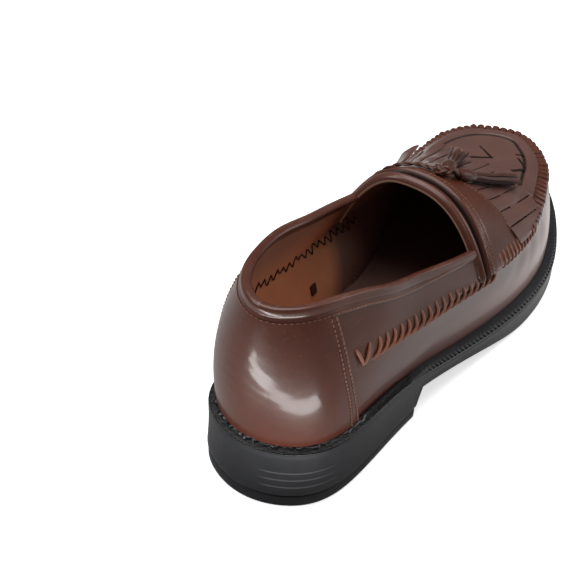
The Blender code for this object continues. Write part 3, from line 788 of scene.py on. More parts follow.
def times(tree, first, *others):
    """The product of values."""
    for value in others:
        first = reckon(tree, "MULTIPLY", first, value)
    return first


def blend(tree, factor, first, second):
    """A colour between two colours."""
    inputs = {0: factor, 6: first, 7: second}
    return add(tree, "ShaderNodeMix", inputs, data_type="RGBA").outputs[2]


def ranged(tree, value, low, high, start=0.0, end=1.0):
    """A value taken from one range to another and held at its ends."""
    inputs = {"Value": value, "From Min": low, "From Max": high, "To Min": start, "To Max": end}
    return add(tree, "ShaderNodeMapRange", inputs).outputs[0]


def noise(tree, place, scale, detail=3.0, rough=0.55):
    """Cloudy values from 0 to 1."""
    inputs = {"Vector": place, "Scale": scale, "Detail": detail, "Roughness": rough}
    return add(tree, "ShaderNodeTexNoise", inputs).outputs["Fac"]


def stretched(tree, place, scale):
    """The place with each axis scaled by its own factor."""
    return add(tree, "ShaderNodeMapping", {"Vector": place, "Scale": scale}).outputs[0]


def mark(tree, name):
    """The piece's own point value of this name, 0 where it has none."""
    return add(tree, "ShaderNodeAttribute", attribute_name=name).outputs["Fac"]


def rgba(colour):
    """The colour with full cover."""
    return (*colour, 1.0)


def grey(tone):
    """A plain grey with full cover."""
    return rgba((tone, tone, tone))


def group(name, inputs, outputs):
    """A shader node group with these sockets; returns it with its two ends."""
    tree = bpy.data.node_groups.new(name, "ShaderNodeTree")
    for key, kind in inputs.items():
        tree.interface.new_socket(key, in_out="INPUT", socket_type=kind)
    for key, kind in outputs.items():
        tree.interface.new_socket(key, in_out="OUTPUT", socket_type=kind)
    return tree, tree.nodes.new("NodeGroupInput").outputs, tree.nodes.new("NodeGroupOutput").inputs


def grain_group():
    """Leather surface: fine pebble grain from cells and noise, faint wrinkles, slow
    clouds of tone and thin scratches along the shoe."""
    tree, given, out = group(
        "leather_grain",
        {"Place": "NodeSocketVector", "Scale": "NodeSocketFloat"},
        {"Height": "NodeSocketFloat", "Cloud": "NodeSocketFloat", "Scratch": "NodeSocketFloat"},
    )
    place = given["Place"]
    cells = add(tree, "ShaderNodeTexVoronoi", {"Vector": place, "Scale": given["Scale"]}, feature="F1")
    pebble = ranged(tree, cells.outputs["Distance"], 0.0, 0.7, 1.0, 0.0)
    fine = noise(tree, place, 2600.0, 2.0)
    wrinkle = noise(tree, stretched(tree, place, (90.0, 90.0, 420.0)), 1.0, 4.0, 0.6)
    height = reckon(tree, "MULTIPLY_ADD", pebble, 0.5, times(tree, fine, 0.35))
    put(tree, out["Height"], reckon(tree, "MULTIPLY_ADD", wrinkle, 0.9, height))
    put(tree, out["Cloud"], noise(tree, place, 26.0, 4.0, 0.6))
    lines = noise(tree, stretched(tree, place, (700.0, 60.0, 900.0)), 1.0, 3.0)
    put(tree, out["Scratch"], ranged(tree, lines, 0.62, 0.74))
    return tree


def thread_group():
    """Twisted thread: slanting ridges and a little fluff of tone."""
    tree, given, out = group(
        "thread_twist",
        {"Place": "NodeSocketVector"},
        {"Height": "NodeSocketFloat", "Tone": "NodeSocketFloat"},
    )
    ridge = add(tree, "ShaderNodeTexWave", {"Vector": given["Place"], "Scale": 420.0, "Distortion": 2.0})
    put(tree, out["Height"], ridge.outputs["Fac"])
    put(tree, out["Tone"], noise(tree, given["Place"], 600.0, 3.0))
    return tree


def cloth_group():
    """Woven cloth: the higher of two crossed sets of threads."""
    tree, given, out = group(
        "cloth_weave",
        {"Place": "NodeSocketVector", "Scale": "NodeSocketFloat"},
        {"Height": "NodeSocketFloat"},
    )
    sets = []
    for direction in ("X", "Y"):
        inputs = {"Vector": given["Place"], "Scale": given["Scale"], "Distortion": 0.8}
        wave = add(tree, "ShaderNodeTexWave", inputs, bands_direction=direction)
        sets.append(wave.outputs["Fac"])
    put(tree, out["Height"], reckon(tree, "MAXIMUM", *sets))
    return tree


def new_material(name):
    """A new material, its node tree, its shader and the place on the piece."""
    material = bpy.data.materials.new(name)
    material.use_nodes = True
    tree = material.node_tree
    shader = tree.nodes["Principled BSDF"]
    place = add(tree, "ShaderNodeTexCoord").outputs["Object"]
    return material, tree, shader, place


def bump(tree, shader, height, strength, distance):
    """Low relief of a shader's surface."""
    inputs = {"Height": height, "Strength": strength, "Distance": distance}
    put(tree, shader.inputs["Normal"], add(tree, "ShaderNodeBump", inputs).outputs[0])


def use(tree, made, **inputs):
    """A group placed in a material with its own values."""
    item = tree.nodes.new("ShaderNodeGroup")
    item.node_tree = made
    for key, value in inputs.items():
        put(tree, item.inputs[key], value)
    return item.outputs


def polished_leather(name, base, deep, rough, coat, pale=PALE, glow_tone=GLOW_TONE, grain=1250.0, strength=0.16):
    """Polished leather: clouds between the base and the deep tone, a painted glow of
    a warmer tone next to the sole, a painted sheen on the forefoot's wall, painted
    shade in folds, grooves, holes and slits, pale cut edges, worn scratches and a coat."""
    material, tree, shader, place = new_material(name)
    made = use(tree, GRAIN, Place=place, Scale=grain)
    colour = blend(tree, ranged(tree, made["Cloud"], 0.3, 0.7), rgba(deep), rgba(base))
    # Painted glow of a warmer tone next to the sole and on the pads' tops.
    colour = blend(tree, ranged(tree, mark(tree, "rim"), 0.05, 0.9, 0.0, 0.85), colour, rgba(glow_tone))
    # Painted sheen on the lower wall of the forefoot.
    colour = blend(tree, mark(tree, "bloom"), colour, rgba(FOREFOOT_SHEEN))
    colour = blend(tree, times(tree, made["Scratch"], 0.16), colour, rgba(pale))
    colour = blend(tree, times(tree, mark(tree, "trim"), 0.9), colour, rgba(pale))
    # Painted shade: this value darkens the colour nearly to black in folds, grooves, stitch holes,
    # slits, notches and under strips, roughens the surface there and takes off the coat.
    fold = mark(tree, "fold")
    dark = tuple(0.06 * c for c in deep)
    colour = blend(tree, ranged(tree, fold, 0.1, 0.75, 0.0, 0.96), colour, rgba(dark))
    put(tree, shader.inputs["Base Color"], colour)
    uneven = ranged(tree, made["Cloud"], 0.2, 0.8, rough - 0.05, rough + 0.1)
    put(tree, shader.inputs["Roughness"], reckon(tree, "MULTIPLY_ADD", fold, 0.5, uneven))
    put(tree, shader.inputs["Coat Weight"], ranged(tree, fold, 0.1, 0.8, coat, 0.0))
    shader.inputs["Coat Roughness"].default_value = 0.12
    shader.inputs["Specular IOR Level"].default_value = 0.22
    bump(tree, shader, made["Height"], strength, 0.0003)
    return material


def sewing_thread(name, base, deep):
    """Matt twisted thread, mottled between two tones."""
    material, tree, shader, place = new_material(name)
    made = use(tree, TWIST, Place=place)
    put(tree, shader.inputs["Base Color"], blend(tree, made["Tone"], rgba(deep), rgba(base)))
    shader.inputs["Roughness"].default_value = 0.7
    bump(tree, shader, made["Height"], 0.4, 0.0002)
    return material


def moulded_rubber(name):
    """Black moulded rubber, faintly dusty: a fine mould texture, painted shade in the
    notches, a glossy rim that is lumpy with glue at its back, and pale fine ribs on
    the back of the heel."""
    material, tree, shader, place = new_material(name)
    axis = add(tree, "ShaderNodeSeparateXYZ", {"Vector": place}).outputs
    ledge = mark(tree, "ledge")
    fold = mark(tree, "fold")
    dust = noise(tree, place, 90.0, 4.0, 0.65)
    colour = blend(tree, ranged(tree, dust, 0.4, 0.75), rgba(RUBBER_BLACK), rgba(RUBBER_GREY))
    # Painted shade in the notches of the welt.
    colour = blend(tree, ranged(tree, fold, 0.3, 1.0, 0.0, 0.9), colour, grey(0.004))
    colour = blend(tree, times(tree, ledge, 0.8), colour, grey(0.003))
    ribs = reckon(tree, "PINGPONG", reckon(tree, "ADD", axis["Z"], -RIB_START), RIB_PITCH / 2)
    line = times(
        tree,
        ranged(tree, ribs, 0.0, 0.0006, 1.0, 0.0),
        ranged(tree, axis["X"], 0.002, 0.007),
        ranged(tree, axis["X"], 0.030, 0.024),
        ranged(tree, axis["Y"], -0.12, -0.13),
        ranged(tree, axis["Z"], RIB_START - 0.0015, RIB_START - 0.0010),
        ranged(tree, axis["Z"], RIB_END, RIB_END - 0.0005),
    )
    colour = blend(tree, times(tree, line, 0.5), colour, grey(0.16))
    put(tree, shader.inputs["Base Color"], colour)
    shader.inputs["Specular IOR Level"].default_value = 0.35
    gloss = ranged(tree, ledge, 0.0, 1.0, 0.42, 0.12)
    put(tree, shader.inputs["Roughness"], reckon(tree, "MULTIPLY_ADD", dust, 0.12, gloss))
    lumps = noise(tree, place, 520.0, 4.0, 0.7)
    glue = times(tree, lumps, ledge, ranged(tree, axis["Y"], -0.06, -0.14, 0.3, 6.0))
    height = reckon(tree, "MULTIPLY_ADD", noise(tree, place, 1500.0, 2.0), 0.3, glue)
    height = reckon(tree, "MULTIPLY_ADD", line, 0.8, height)
    bump(tree, shader, height, 0.3, 0.0004)
    return material


def shoe_lining(name, seam, soft):
    """Lining: smooth tan leather behind, browner above the laced seam, and woven
    cloth in front of the seam."""
    material, tree, shader, place = new_material(name)
    axis = add(tree, "ShaderNodeSeparateXYZ", {"Vector": place}).outputs
    front = ranged(tree, axis["Y"], seam, seam + soft)
    grain = use(tree, GRAIN, Place=place, Scale=900.0)
    weave = use(tree, CLOTH, Place=place, Scale=1500.0)
    hide = blend(tree, ranged(tree, grain["Cloud"], 0.3, 0.7), rgba(TAN_DEEP), rgba(TAN))
    threads = blend(tree, ranged(tree, weave["Height"], 0.3, 0.9), rgba(CLOTH_DEEP), rgba(CLOTH_BROWN))
    worn = ranged(tree, axis["Z"], 0.064, 0.080, 0.0, 0.75)
    hide = blend(tree, worn, hide, rgba(CLOTH_BROWN))
    put(tree, shader.inputs["Base Color"], blend(tree, front, hide, threads))
    put(tree, shader.inputs["Roughness"], ranged(tree, front, 0.0, 1.0, 0.62, 0.9))
    height = reckon(tree, "MULTIPLY_ADD", grain["Height"], 0.3, times(tree, weave["Height"], front))
    bump(tree, shader, height, 0.25, 0.0004)
    return material


def pale_floor(name):
    """Matt pale sheet, lit through from below. It throws less light back on the
    shoe than the view sees of it: most beside the forefoot, less on the lateral
    side of the heel and least far behind and far ahead. It glows by the forefoot."""
    material, tree, shader, place = new_material(name)
    tone = noise(tree, place, 3.0, 2.0)
    seen = blend(tree, tone, grey(0.90), grey(0.93))
    axis = add(tree, "ShaderNodeSeparateXYZ", {"Vector": place}).outputs
    aside = axis["X"]
    along = axis["Y"]
    thrown = blend(tree, ranged(tree, along, -0.42, -0.26), grey(0.10), grey(0.48))
    thrown = blend(tree, ranged(tree, aside, 0.05, 0.12), thrown, rgba(FLOOR_ASIDE))
    thrown = blend(tree, ranged(tree, along, 0.04, 0.16), thrown, grey(0.7))
    thrown = blend(tree, ranged(tree, along, 0.28, 0.42), thrown, grey(0.10))
    near = times(
        tree,
        ranged(tree, along, -0.10, 0.04),
        ranged(tree, along, 0.32, 0.20),
        ranged(tree, aside, 0.17, 0.09),
        ranged(tree, aside, 0.0, 0.04),
    )
    glow = blend(tree, near, grey(0.0), grey(0.5))
    direct = add(tree, "ShaderNodeLightPath").outputs["Is Camera Ray"]
    put(tree, shader.inputs["Base Color"], blend(tree, direct, thrown, seen))
    far_aside = ranged(tree, reckon(tree, "ABSOLUTE", aside), 0.35, 1.0)
    far_along = ranged(tree, reckon(tree, "ABSOLUTE", along), 0.45, 1.1)
    far = reckon(tree, "MAXIMUM", far_aside, far_along)
    lit = blend(tree, far, grey(0.62), grey(1.0))
    put(tree, shader.inputs["Emission Color"], blend(tree, direct, glow, lit))
    shader.inputs["Emission Strength"].default_value = 1.0
    shader.inputs["Roughness"].default_value = 0.8
    shader.inputs["Specular IOR Level"].default_value = 0.1
    return material


GRAIN = grain_group()
TWIST = thread_group()
CLOTH = cloth_group()
LEATHER = polished_leather("polished_leather", BASE, DEEP, 0.34, 0.35)
# A copy of the leather with a painted sheen, for the border, plug and fringe.
VAMP_SHEEN_LEATHER = polished_leather("vamp_leather_painted_sheen", VAMP_SHEEN_BASE, VAMP_SHEEN_DEEP, 0.36, 0.35)
BINDING_LEATHER = polished_leather("binding_leather", BINDING_BASE, DEEP, 0.32, 0.35, BINDING_PALE)
TASSEL_LEATHER = polished_leather("tassel_leather", TASSEL_BASE, DEEP, 0.38, 0.15)
THONG = polished_leather("thong_leather", THONG_BASE, THONG_DEEP, 0.38, 0.15)
CORD = polished_leather("inner_cord", CORD_BASE, CORD_DEEP, 0.5, 0.0)
THREAD = sewing_thread("tan_thread", THREAD_BASE, THREAD_DEEP)
GLUE = polished_leather("edge_glue", GLUE_BLACK, GLUE_BLACK, 0.3, 0.6, GLUE_WORN, GLUE_BLACK, 300.0, 0.7)
RUBBER = moulded_rubber("moulded_rubber")
LINING = shoe_lining("shoe_lining", *LINING_SEAM)
INSOLE = shoe_lining("insole_cover", *INSOLE_SEAM)


# Upper: outer skin and lining.


def upper_places():
    """Turn and level grids that cover the upper: round the heel to the collar
    edge, then the lateral and the medial half of the vamp from throat to toe."""
    wall = np.concatenate([np.linspace(0, 0.82, 24), np.linspace(0.84, 1.0, 11)])
    climb = np.linspace(0, 1, 37)[1:]
    share = np.linspace(0, 1, 111)
    ends = {side: corner(side) for side in (1, -1)}
    rows = {}
    levels = {}
    for side, (_, edge) in ends.items():
        rows[side] = np.append(wall, np.linspace(1.0, edge, 6)[1:])
        levels[side] = np.append(rows[side], edge + (2 - edge) * climb)
    at_toe = (levels[1] + levels[-1]) / 2
    halves = []
    for side, (edge_turn, edge) in ends.items():
        throat = turn_at(levels[side], THROAT_ALONG, THROAT_BOW, side)
        start = np.where(levels[side] > edge, throat, edge_turn)
        turn = start[:, None] + (side * 180 - start[:, None]) * share
        halves.append((turn, levels[side][:, None] + (at_toe - levels[side])[:, None] * share))
    share = np.linspace(0, 1, 181)
    turn = ends[-1][0] + (ends[1][0] - ends[-1][0]) * share
    medial = rows[-1][:, None] / rows[-1][-1]
    lateral = rows[1][:, None] / rows[1][-1]
    level = (medial + (lateral - medial) * share) * topline_level(turn)
    return [(turn + 0 * level, level)] + halves, len(rows[1]) - 1


def skin_relief(turn, level):
    """Soft creases of the wall: three slanting troughs where the
    forefoot bends, a sag under the ankle and a slow unevenness all over."""
    size = np.abs(turn)
    in_wall = smooth(level, 0.2, 0.5) * (1 - smooth(level, 0.8, 0.98))
    relief = np.zeros(np.shape(turn))
    for middle, width, depth in FLEX_CREASES:
        relief = relief - depth * bell(size, middle + CREASE_SLANT * (level - 0.6), width) * in_wall
    sag = bell(size, SAG_TURN, 9) * bell(level, 0.6, 0.25)
    uneven = np.sin(0.23 * turn + 5 * level) * np.sin(0.11 * turn - 7 * level + 1)
    return relief - SAG_DEPTH * sag + UNEVEN * uneven * smooth(level, 0, 0.15)


def make_upper():
    """The hollow shoe: the creased outer skin and the lining a wall inside it,
    joined at the collar, throat and feather edges."""
    grids, corner_row = upper_places()
    patches = []
    for number, (turn, level) in enumerate(grids):
        outer = offset_face(turn, level, skin_relief(turn, level))
        inner = offset_face(turn, level, np.full(turn.shape, -WALL))
        # Painted light on the outer skin: a greyish sheen on the lower wall of the lateral forefoot, and
        # a glow of a warmer tone next to the sole elsewhere.
        bloom = bell(turn, 112, 32) * (1 - smooth(level, 0.3, 0.8))
        values = {"rim": np.exp(-level / 0.16) * (1 - bloom), "bloom": bloom}
        patches.append((outer, values, 0))
        patches.append((inner, {}, 1))
        patches.append((np.stack([outer[0], inner[0]]), {}, 1))
        if number == 0:
            patches.append((np.stack([outer[-1], inner[-1]]), {}, 1))
        else:
            patches.append((np.stack([outer[corner_row:, 0], inner[corner_row:, 0]]), {}, 1))
    add_piece("upper_skin", patches, [LEATHER, LINING], ["upper"])


# Heel counter, its seams and the collar binding.


def counter_place(across, rise):
    """Turn and level on the counter panel: across from -1 to 1 between its side
    seams, rise from 0 at the rim to 1 under the collar binding."""
    turn = across * (COUNTER_TURN_LOW + (COUNTER_TURN_HIGH - COUNTER_TURN_LOW) * rise)
    top = level_drop(turn, topline_level(turn), BINDING_WIDTH - 1.5)
    return turn, 0.01 + (top - 0.01) * rise


def counter_height(across, rise):
    """Outer offset of the counter: a flat panel with round side edges, a shallow
    groove under each row of stitches and a few fine wear creases."""
    edge = (1 - np.abs(across)) * COUNTER_HALF
    height = PANEL * (1 - np.exp(-edge / 0.45))
    for row in COUNTER_ROWS:
        height = height - 0.2 * bell(edge, row, 0.55)
    crease = np.sin(70 * rise + 4 * np.sin(6 * across)) * bell(across, -0.1, 0.4) * bell(rise, 0.6, 0.2)
    return GAP + height + 0.035 * crease


def make_counter():
    """Counter panel with two rows of stitches beside each side seam. Painted shade
    darkens the leather round the stitch holes."""
    across, rise = np.meshgrid(np.linspace(-1, 1, 161), np.linspace(0, 1, 61))
    turn, level = counter_place(across, rise)
    from_edge = (1 - np.abs(across)) * COUNTER_HALF
    holes = sum(0.45 * bell(from_edge, row, 0.75) for row in COUNTER_ROWS)
    # Painted glow of a warmer tone next to the sole, and painted shade round the stitch holes.
    values = {"rim": np.exp(-level / 0.16), "fold": holes}
    patches = shell(turn, level, counter_height(across, rise), -0.3, values)
    add_piece("counter_panel", patches, [LEATHER], ["heel_counter"])
    rows = []
    rise = np.linspace(0.02, 0.985, 60)
    for side in (-1, 1):
        for row in COUNTER_ROWS:
            across = np.full(rise.shape, side * (1 - row / COUNTER_HALF))
            turn, level = counter_place(across, rise)
            line = offset_face(turn, level, counter_height(across, rise))
            rows.append((stitches(line, last_normal(turn, level), *COUNTER_STITCH), {}, 0))
    add_piece("counter_stitches", rows, [THREAD], [])


def binding_width(turn):
    """Width of the collar binding, less where the collar nears the lacing."""
    return BINDING_WIDTH - 2.6 * smooth(np.abs(turn), 62, 84)


def capped(section):
    """Patches of a section ring carried along columns, closed to a ring and with
    its two ends filled to their middle points."""
    section = np.concatenate([section, section[:1]])
    patches = []
    for end in (0, -1):
        ring = section[:, end]
        patches.append((np.stack([ring, np.broadcast_to(ring.mean(axis=0), ring.shape)]), {}, 0))
    return section, patches


def rolled_band(edge, normal, up, outer, inner, trim_from, outer_shade=0.0):
    """Patches of a band rolled over an edge: the outer rows, a half round over
    the edge, and the inner rows. The value trim marks the roll from the row
    trim_from on, and painted shade is given to the outer rows that lie in a groove."""
    high = ((outer[-1] - edge) * normal).sum(axis=-1)[:, None]
    low = ((inner[0] - edge) * normal).sum(axis=-1)[:, None]
    angle = np.linspace(0, np.pi, ROLL_ROWS + 1)[1:-1, None, None]
    reach = (high - low) / 2 * np.cos(angle) + (high + low) / 2
    roll = edge + normal * reach + up * ROLL_HEIGHT * np.sin(angle)
    section = np.concatenate([outer, roll, inner])
    trim = np.zeros(section.shape[:2])
    trim[len(outer) + trim_from : len(outer) + ROLL_ROWS] = 1.0
    fold = np.zeros(section.shape[:2])
    fold[: len(outer)] = outer_shade
    section, patches = capped(section)
    trim = np.concatenate([trim, trim[:1]])
    fold = np.concatenate([fold, fold[:1]])
    return [(section, {"trim": trim, "fold": fold}, 0)] + patches


def make_collar_binding():
    """Binding rolled over the collar edge: a flat band below, a raised bead along
    the top and a return inside, with one row of stitches near its lower edge."""
    turn = np.linspace(corner(-1)[0], corner(1)[0], 261)
    level = topline_level(turn)
    width = binding_width(turn)
    below = width * np.linspace(1, 0, 17)[:, None]
    bead = BEAD_HEIGHT - 0.5 * smooth(np.abs(turn), 28, 50)
    rise = BINDING * (1 - np.exp(-(width - below) / 0.5)) + bead * bell(below, 0.6, 2.0)
    rise = rise - 0.25 * bell(below, 3.6, 0.6)
    outer = offset_face(turn + 0 * below, level_drop(turn, level, below), rise + GAP)
    inside = BINDING_RETURN * np.linspace(0, 1, 7)[:, None]
    inner_level = level_drop(turn, level, inside)
    inner = offset_face(turn + 0 * inside, inner_level, -WALL - 0.9 + 0.16 * inside)
    edge = last_point(turn, level)
    up = unit(edge - last_point(turn, level_drop(turn, level, 3.0)))
    patches = rolled_band(edge, last_normal(turn, level), up, outer, inner, ROLL_ROWS)
    add_piece("collar_band", patches, [BINDING_LEATHER], ["collar_binding"])
    seam = level_drop(turn, level, width - 1.3)
    line = offset_face(turn, seam, np.full(turn.shape, GAP + BINDING))[6:-6]
    row = stitches(line, last_normal(turn, seam)[6:-6], *COLLAR_STITCH)
    add_piece("collar_stitches", [(row, {}, 0)], [THREAD], [])


# Throat lip and strap.


def make_throat_lip():
    """Lip rolled over the throat edge like a cord, with painted shade in the groove
    in front of it and the lining's edge showing as a pale line inside."""
    level, side = over_instep(np.linspace(-1, 1, 161), LIP_LEVEL)

    def turn_ahead(ahead):
        """Turn of each place this far in front of the throat edge."""
        return turn_across(level + 0 * ahead, side, THROAT_ALONG + ahead, THROAT_BOW)

    turn = turn_ahead(0.0)
    ahead = np.linspace(LIP_REACH, 0, 25)[:, None]
    outer_turn = turn_ahead(ahead)
    roll = LIP_HEIGHT * np.sqrt(np.clip(1 - ((ahead - LIP_MIDDLE) / LIP_HALF) ** 2, 0, 1))
    roll = np.where(ahead < LIP_WIDTH, roll - 0.15, 0.2)
    groove = LIP_SHADE * smooth(ahead, LIP_WIDTH - 0.8, LIP_WIDTH)
    outer = offset_face(outer_turn, level + 0 * ahead, roll + 0 * outer_turn)
    inside = LIP_RETURN * np.linspace(0, 1, 6)[:, None]
    inner_turn = turn_ahead(inside)
    depth = WALL + 0.8 - 0.13 * inside + 0 * inner_turn
    inner = offset_face(inner_turn, level + 0 * inner_turn, -depth)
    edge = last_point(turn, level)
    up = unit(edge - last_point(turn_ahead(3.0), level))
    patches = rolled_band(edge, last_normal(turn, level), up, outer, inner, LIP_TRIM, groove)
    add_piece("throat_roll", patches, [BINDING_LEATHER], ["throat_lip"])


def strap_place(share, part):
    """Turn and level on the strap: share over the instep, part from 0 at its rear
    to 1 at its front line."""
    level, side = over_instep(share, STRAP_LEVEL)
    rear = turn_across(level, side, *STRAP_REAR)
    front = turn_across(level, side, *STRAP_FRONT)
    return rear + (front - rear) * part, level + 0 * part


def make_strap():
    """Strap over the instep: a plain band with a cord rolled into its rear edge
    and two rows of stitches beside each edge."""
    share = np.linspace(-1, 1, 181)
    part = np.linspace(0, 1, 45)[:, None]
    turn, level = strap_place(share, part)
    flat = last_point(turn, level)
    width = np.linalg.norm(np.diff(flat, axis=0), axis=-1).sum(axis=0)
    rear = part * width
    front = width - rear
    top = STRAP * (1 - np.exp(-rear / 0.5)) * (1 - np.exp(-front / 0.5))
    bead_place, bead_width, bead_height = STRAP_BEAD
    groove_place, groove_width, groove_depth = STRAP_GROOVE
    top = top + bead_height * bell(rear, bead_place, bead_width)
    top = top - groove_depth * bell(rear, groove_place, groove_width)
    for row in STRAP_ROWS:
        top = top - 0.18 * bell(front, row, 0.5) - 0.18 * bell(rear, row + STRAP_CORD, 0.5)
    # Painted shade in the groove behind the cord and along the strap's rear edge.
    fold = 0.55 * bell(rear, groove_place, 0.7) + np.exp(-rear / 0.5)
    patches = shell(turn, level, GAP + top, -0.4, {"fold": fold})
    add_piece("strap_band", patches, [LEATHER], ["strap"])
    rows = []
    for row in STRAP_ROWS:
        for place in (1 - row / width, (row + STRAP_CORD) / width):
            turn, level = strap_place(share, place)
            line = offset_face(turn, level, np.full(turn.shape, GAP + STRAP - 0.12))
            rows.append((stitches(line, last_normal(turn, level), *STRAP_STITCH), {}, 0))
    add_piece("strap_stitches", rows, [THREAD], [])


# Laced seams of the quarters.


def lacing_turns(side, count):
    """Turns at even steps along the laced seam of one side."""
    return side * even_turns(seam_line, LACE_START, LACE_END, count)


def lacing_level(turn):
    """Level of the laced seam's middle: it climbs less to the front than the moc
    seam does."""
    return 0.985 + 0.11 * (66 - np.abs(turn)) / 25


def make_lacing(name, node, side):
    """Laced seam: a low ribbon pulled up at every thong, and the thongs. A thong
    leaves its lower hole, bends forward over the seam and goes back into the
    upper hole; the first two cross as a V."""
    columns = 8 * LACES + 1
    turn = lacing_turns(side, columns)
    wave = 0.5 - 0.5 * np.cos(2 * np.pi * np.arange(columns) / 8)
    across = np.linspace(-1, 1, 15)[:, None]
    level = lacing_level(turn) + LACING_HALF * across
    top = 0.05 + (0.1 + 0.15 * wave) * (1 - across**2)
    ribbon = shell(turn + 0 * level, level + 0 * turn, top, -0.3)
    w = np.linspace(0, 1, 15)
    start = lacing_turns(side, LACES + 1)[:-1]
    step = np.gradient(start)[:, None]
    lean = -0.75 + 2.3 * w - 1.35 * w**2
    lean = np.tile(lean, (LACES, 1))
    lean[0] = 0.1 - 0.9 * w
    lean[1] = -0.9 + 0.9 * w
    place = start[:, None] + step * (0.5 + lean)
    rise = lacing_level(place) + np.linspace(*THONG_LEVELS, len(w))
    height = THONG_HEIGHT * np.sin(np.pi * w) ** 0.4 - 0.6
    path = offset_face(place, rise, height + 0 * place)
    up = last_normal(place, rise)
    wide = THONG_HALF * (1 - 0.45 * np.abs(2 * w - 1) ** 3)
    thongs = tubes(path, up, wide, 0.8 * wide, 10)
    # Painted shade on the upper end of each thong, where it goes into its hole.
    shade = np.linspace(0, 1, thongs.shape[1]) ** 12
    patches = ribbon + [(thongs, {"fold": shade[:, None] + np.zeros(thongs.shape[1:3])}, 1)]
    add_piece(name, patches, [LEATHER, THONG], [node])


def make_inner_lacing():
    """Runs of the thong on the inner face of both quarters: one zigzag cord."""
    for name, side in (("inner_lacing_lateral", 1), ("inner_lacing_medial", -1)):
        number = np.arange(2 * LACES + 1)
        knots = lacing_turns(side, len(number))
        swing = 0.055 + 0.02 * np.sin(2.1 * number) + 0.015 * np.sin(5.3 * number)
        level = lacing_level(knots) + np.where(number % 2 == 0, -swing, swing)
        fine = np.linspace(0, number[-1], 6 * len(number))
        place = np.interp(fine, number, knots)
        rise = np.interp(fine, number, level)
        path = offset_face(place, rise, np.full(fine.shape, -WALL - 0.2))
        cord = tubes(path, last_normal(place, rise), 0.4, 0.35, 6)
        add_piece(name, [(cord, {}, 0)], [CORD], [])


def make_inner_tab():
    """Small dark tab sewn to the lining low on the medial wall."""
    level = np.linspace(*TAB_LEVELS, 5)
    turn = np.full(5, TAB_TURN)
    path = offset_face(turn, level, np.full(5, -WALL - 0.5))
    tab = tubes(path, last_normal(turn, level), 2.0, 0.5, 12, 0.5)
    add_piece("inner_tab", [(tab, {}, 0)], [CORD], [])


# Moc seam, border of the apron, woven plug.


def make_moc_seam():
    """Puckered seam round the toe: outside the seam line a round shoulder down the
    wall, inside it a low slope to the border. Along the seam its height is a row
    of flat pads with narrow valleys between them, crossed by short threads."""
    fine = 12
    count = fine * PUCKERS + 1
    turn = even_turns(seam_line, MOC_TURN, 360 - MOC_TURN, count)
    number = np.arange(count) / fine
    pad = np.abs(np.sin(np.pi * number)) ** 0.32
    share = np.floor(np.minimum(number, PUCKERS - 1))
    size = 1 + 0.10 * np.sin(2.3 * share) + 0.07 * np.sin(5.1 * share + 1)
    reach = rib_reach(turn)
    wall = np.linspace(1, 0, 12)[:, None]
    inward = np.linspace(0, 1, 15)[1:, None]
    level = np.concatenate([1 - MOC_WALL * wall + 0 * turn, 1 + MOC_WIDTH * inward / reach])
    shoulder = 1 - wall**2.2
    slope = (1 - 0.45 * inward) * (1 - inward**8)
    arch = np.concatenate([shoulder, slope])
    deep = np.concatenate([0.75 - 0.2 * wall, 0.75 + 0.1 * inward]) + 0.2 * smooth(turn, 180, 200)
    grown = smooth(np.minimum(turn - MOC_TURN, 360 - MOC_TURN - turn), 0, 7)
    size = size * (1 + 0.25 * smooth(turn, 180, 200))
    top = -0.15 + (MOC_HEIGHT * size * grown + 0.15) * arch * (1 - deep * (1 - pad))
    # Painted shade in the hollows between the pads, and a painted glow of a warmer tone on the pads'
    # tops.
    fold = (1 - pad) ** 1.2 * np.minimum(arch * 1.6, 1) * grown
    values = {"fold": fold, "rim": 0.35 * pad * arch}
    patches = shell(turn + 0 * level, level, top, -0.5, values)
    add_piece("puckered_seam", patches, [LEATHER], ["moc_seam"])
    t = np.linspace(-1, 1, 9)
    start = turn[fine // 2 :: fine]
    start = start[start < MOC_THREAD_END]
    place = start[:, None] + 1.1 * t
    inside = np.interp(start, turn, reach)[:, None]
    rise = 1 + np.where(t < 0, 0.075 * t, 4.0 * t / inside)
    height = MOC_HEIGHT * np.interp(place, turn, grown) + 0.35 - 1.3 * t**4
    path = offset_face(place, rise, height)
    threads = tubes(path, last_normal(place, rise), 0.6, 0.5, 6)
    add_piece("moc_threads", [(threads, {}, 0)], [THONG], [])


def make_border():
    """Smooth border of the apron inside the puckers: a band of even width with a
    round inner edge, cut square at its two rear ends."""
    column = np.arange(261)
    turn = even_turns(seam_line, BORDER_LATERAL, 360 - BORDER_MEDIAL, len(column))
    reach = rib_reach(turn)
    part = np.linspace(0, 1, 17)[:, None]
    inner = BORDER_INSET + BORDER_WIDTH * part
    level = 1 + inner / reach
    edge = (1 - part) * BORDER_WIDTH
    end = np.minimum(column, column[::-1]) * 0.9
    top = BORDER_THICK * (1 - np.exp(-edge / 0.45)) * (1 - np.exp(-end / 0.5))
    top = top + 0.35 * bell(part, 0.5, 0.5)
    # Painted shadow along the border's inner edge.
    patches = shell(turn + 0 * level, level, 0.15 + top, -0.4, {"fold": bell(edge, 0, 0.55)})
    add_piece("apron_border", patches, [VAMP_SHEEN_LEATHER], [])


def plug_edge(side, inset):
    """Plan line at this inset inside the moc seam, from the waist to the toe."""
    turn = side * np.linspace(92, 180, 241)
    line = seam_line(turn)[:, :2]
    ahead = unit(seam_line(turn + 0.1)[:, :2] - seam_line(turn - 0.1)[:, :2])
    return line[:, 0] - inset * ahead[:, 1], line[:, 1] + inset * ahead[:, 0]


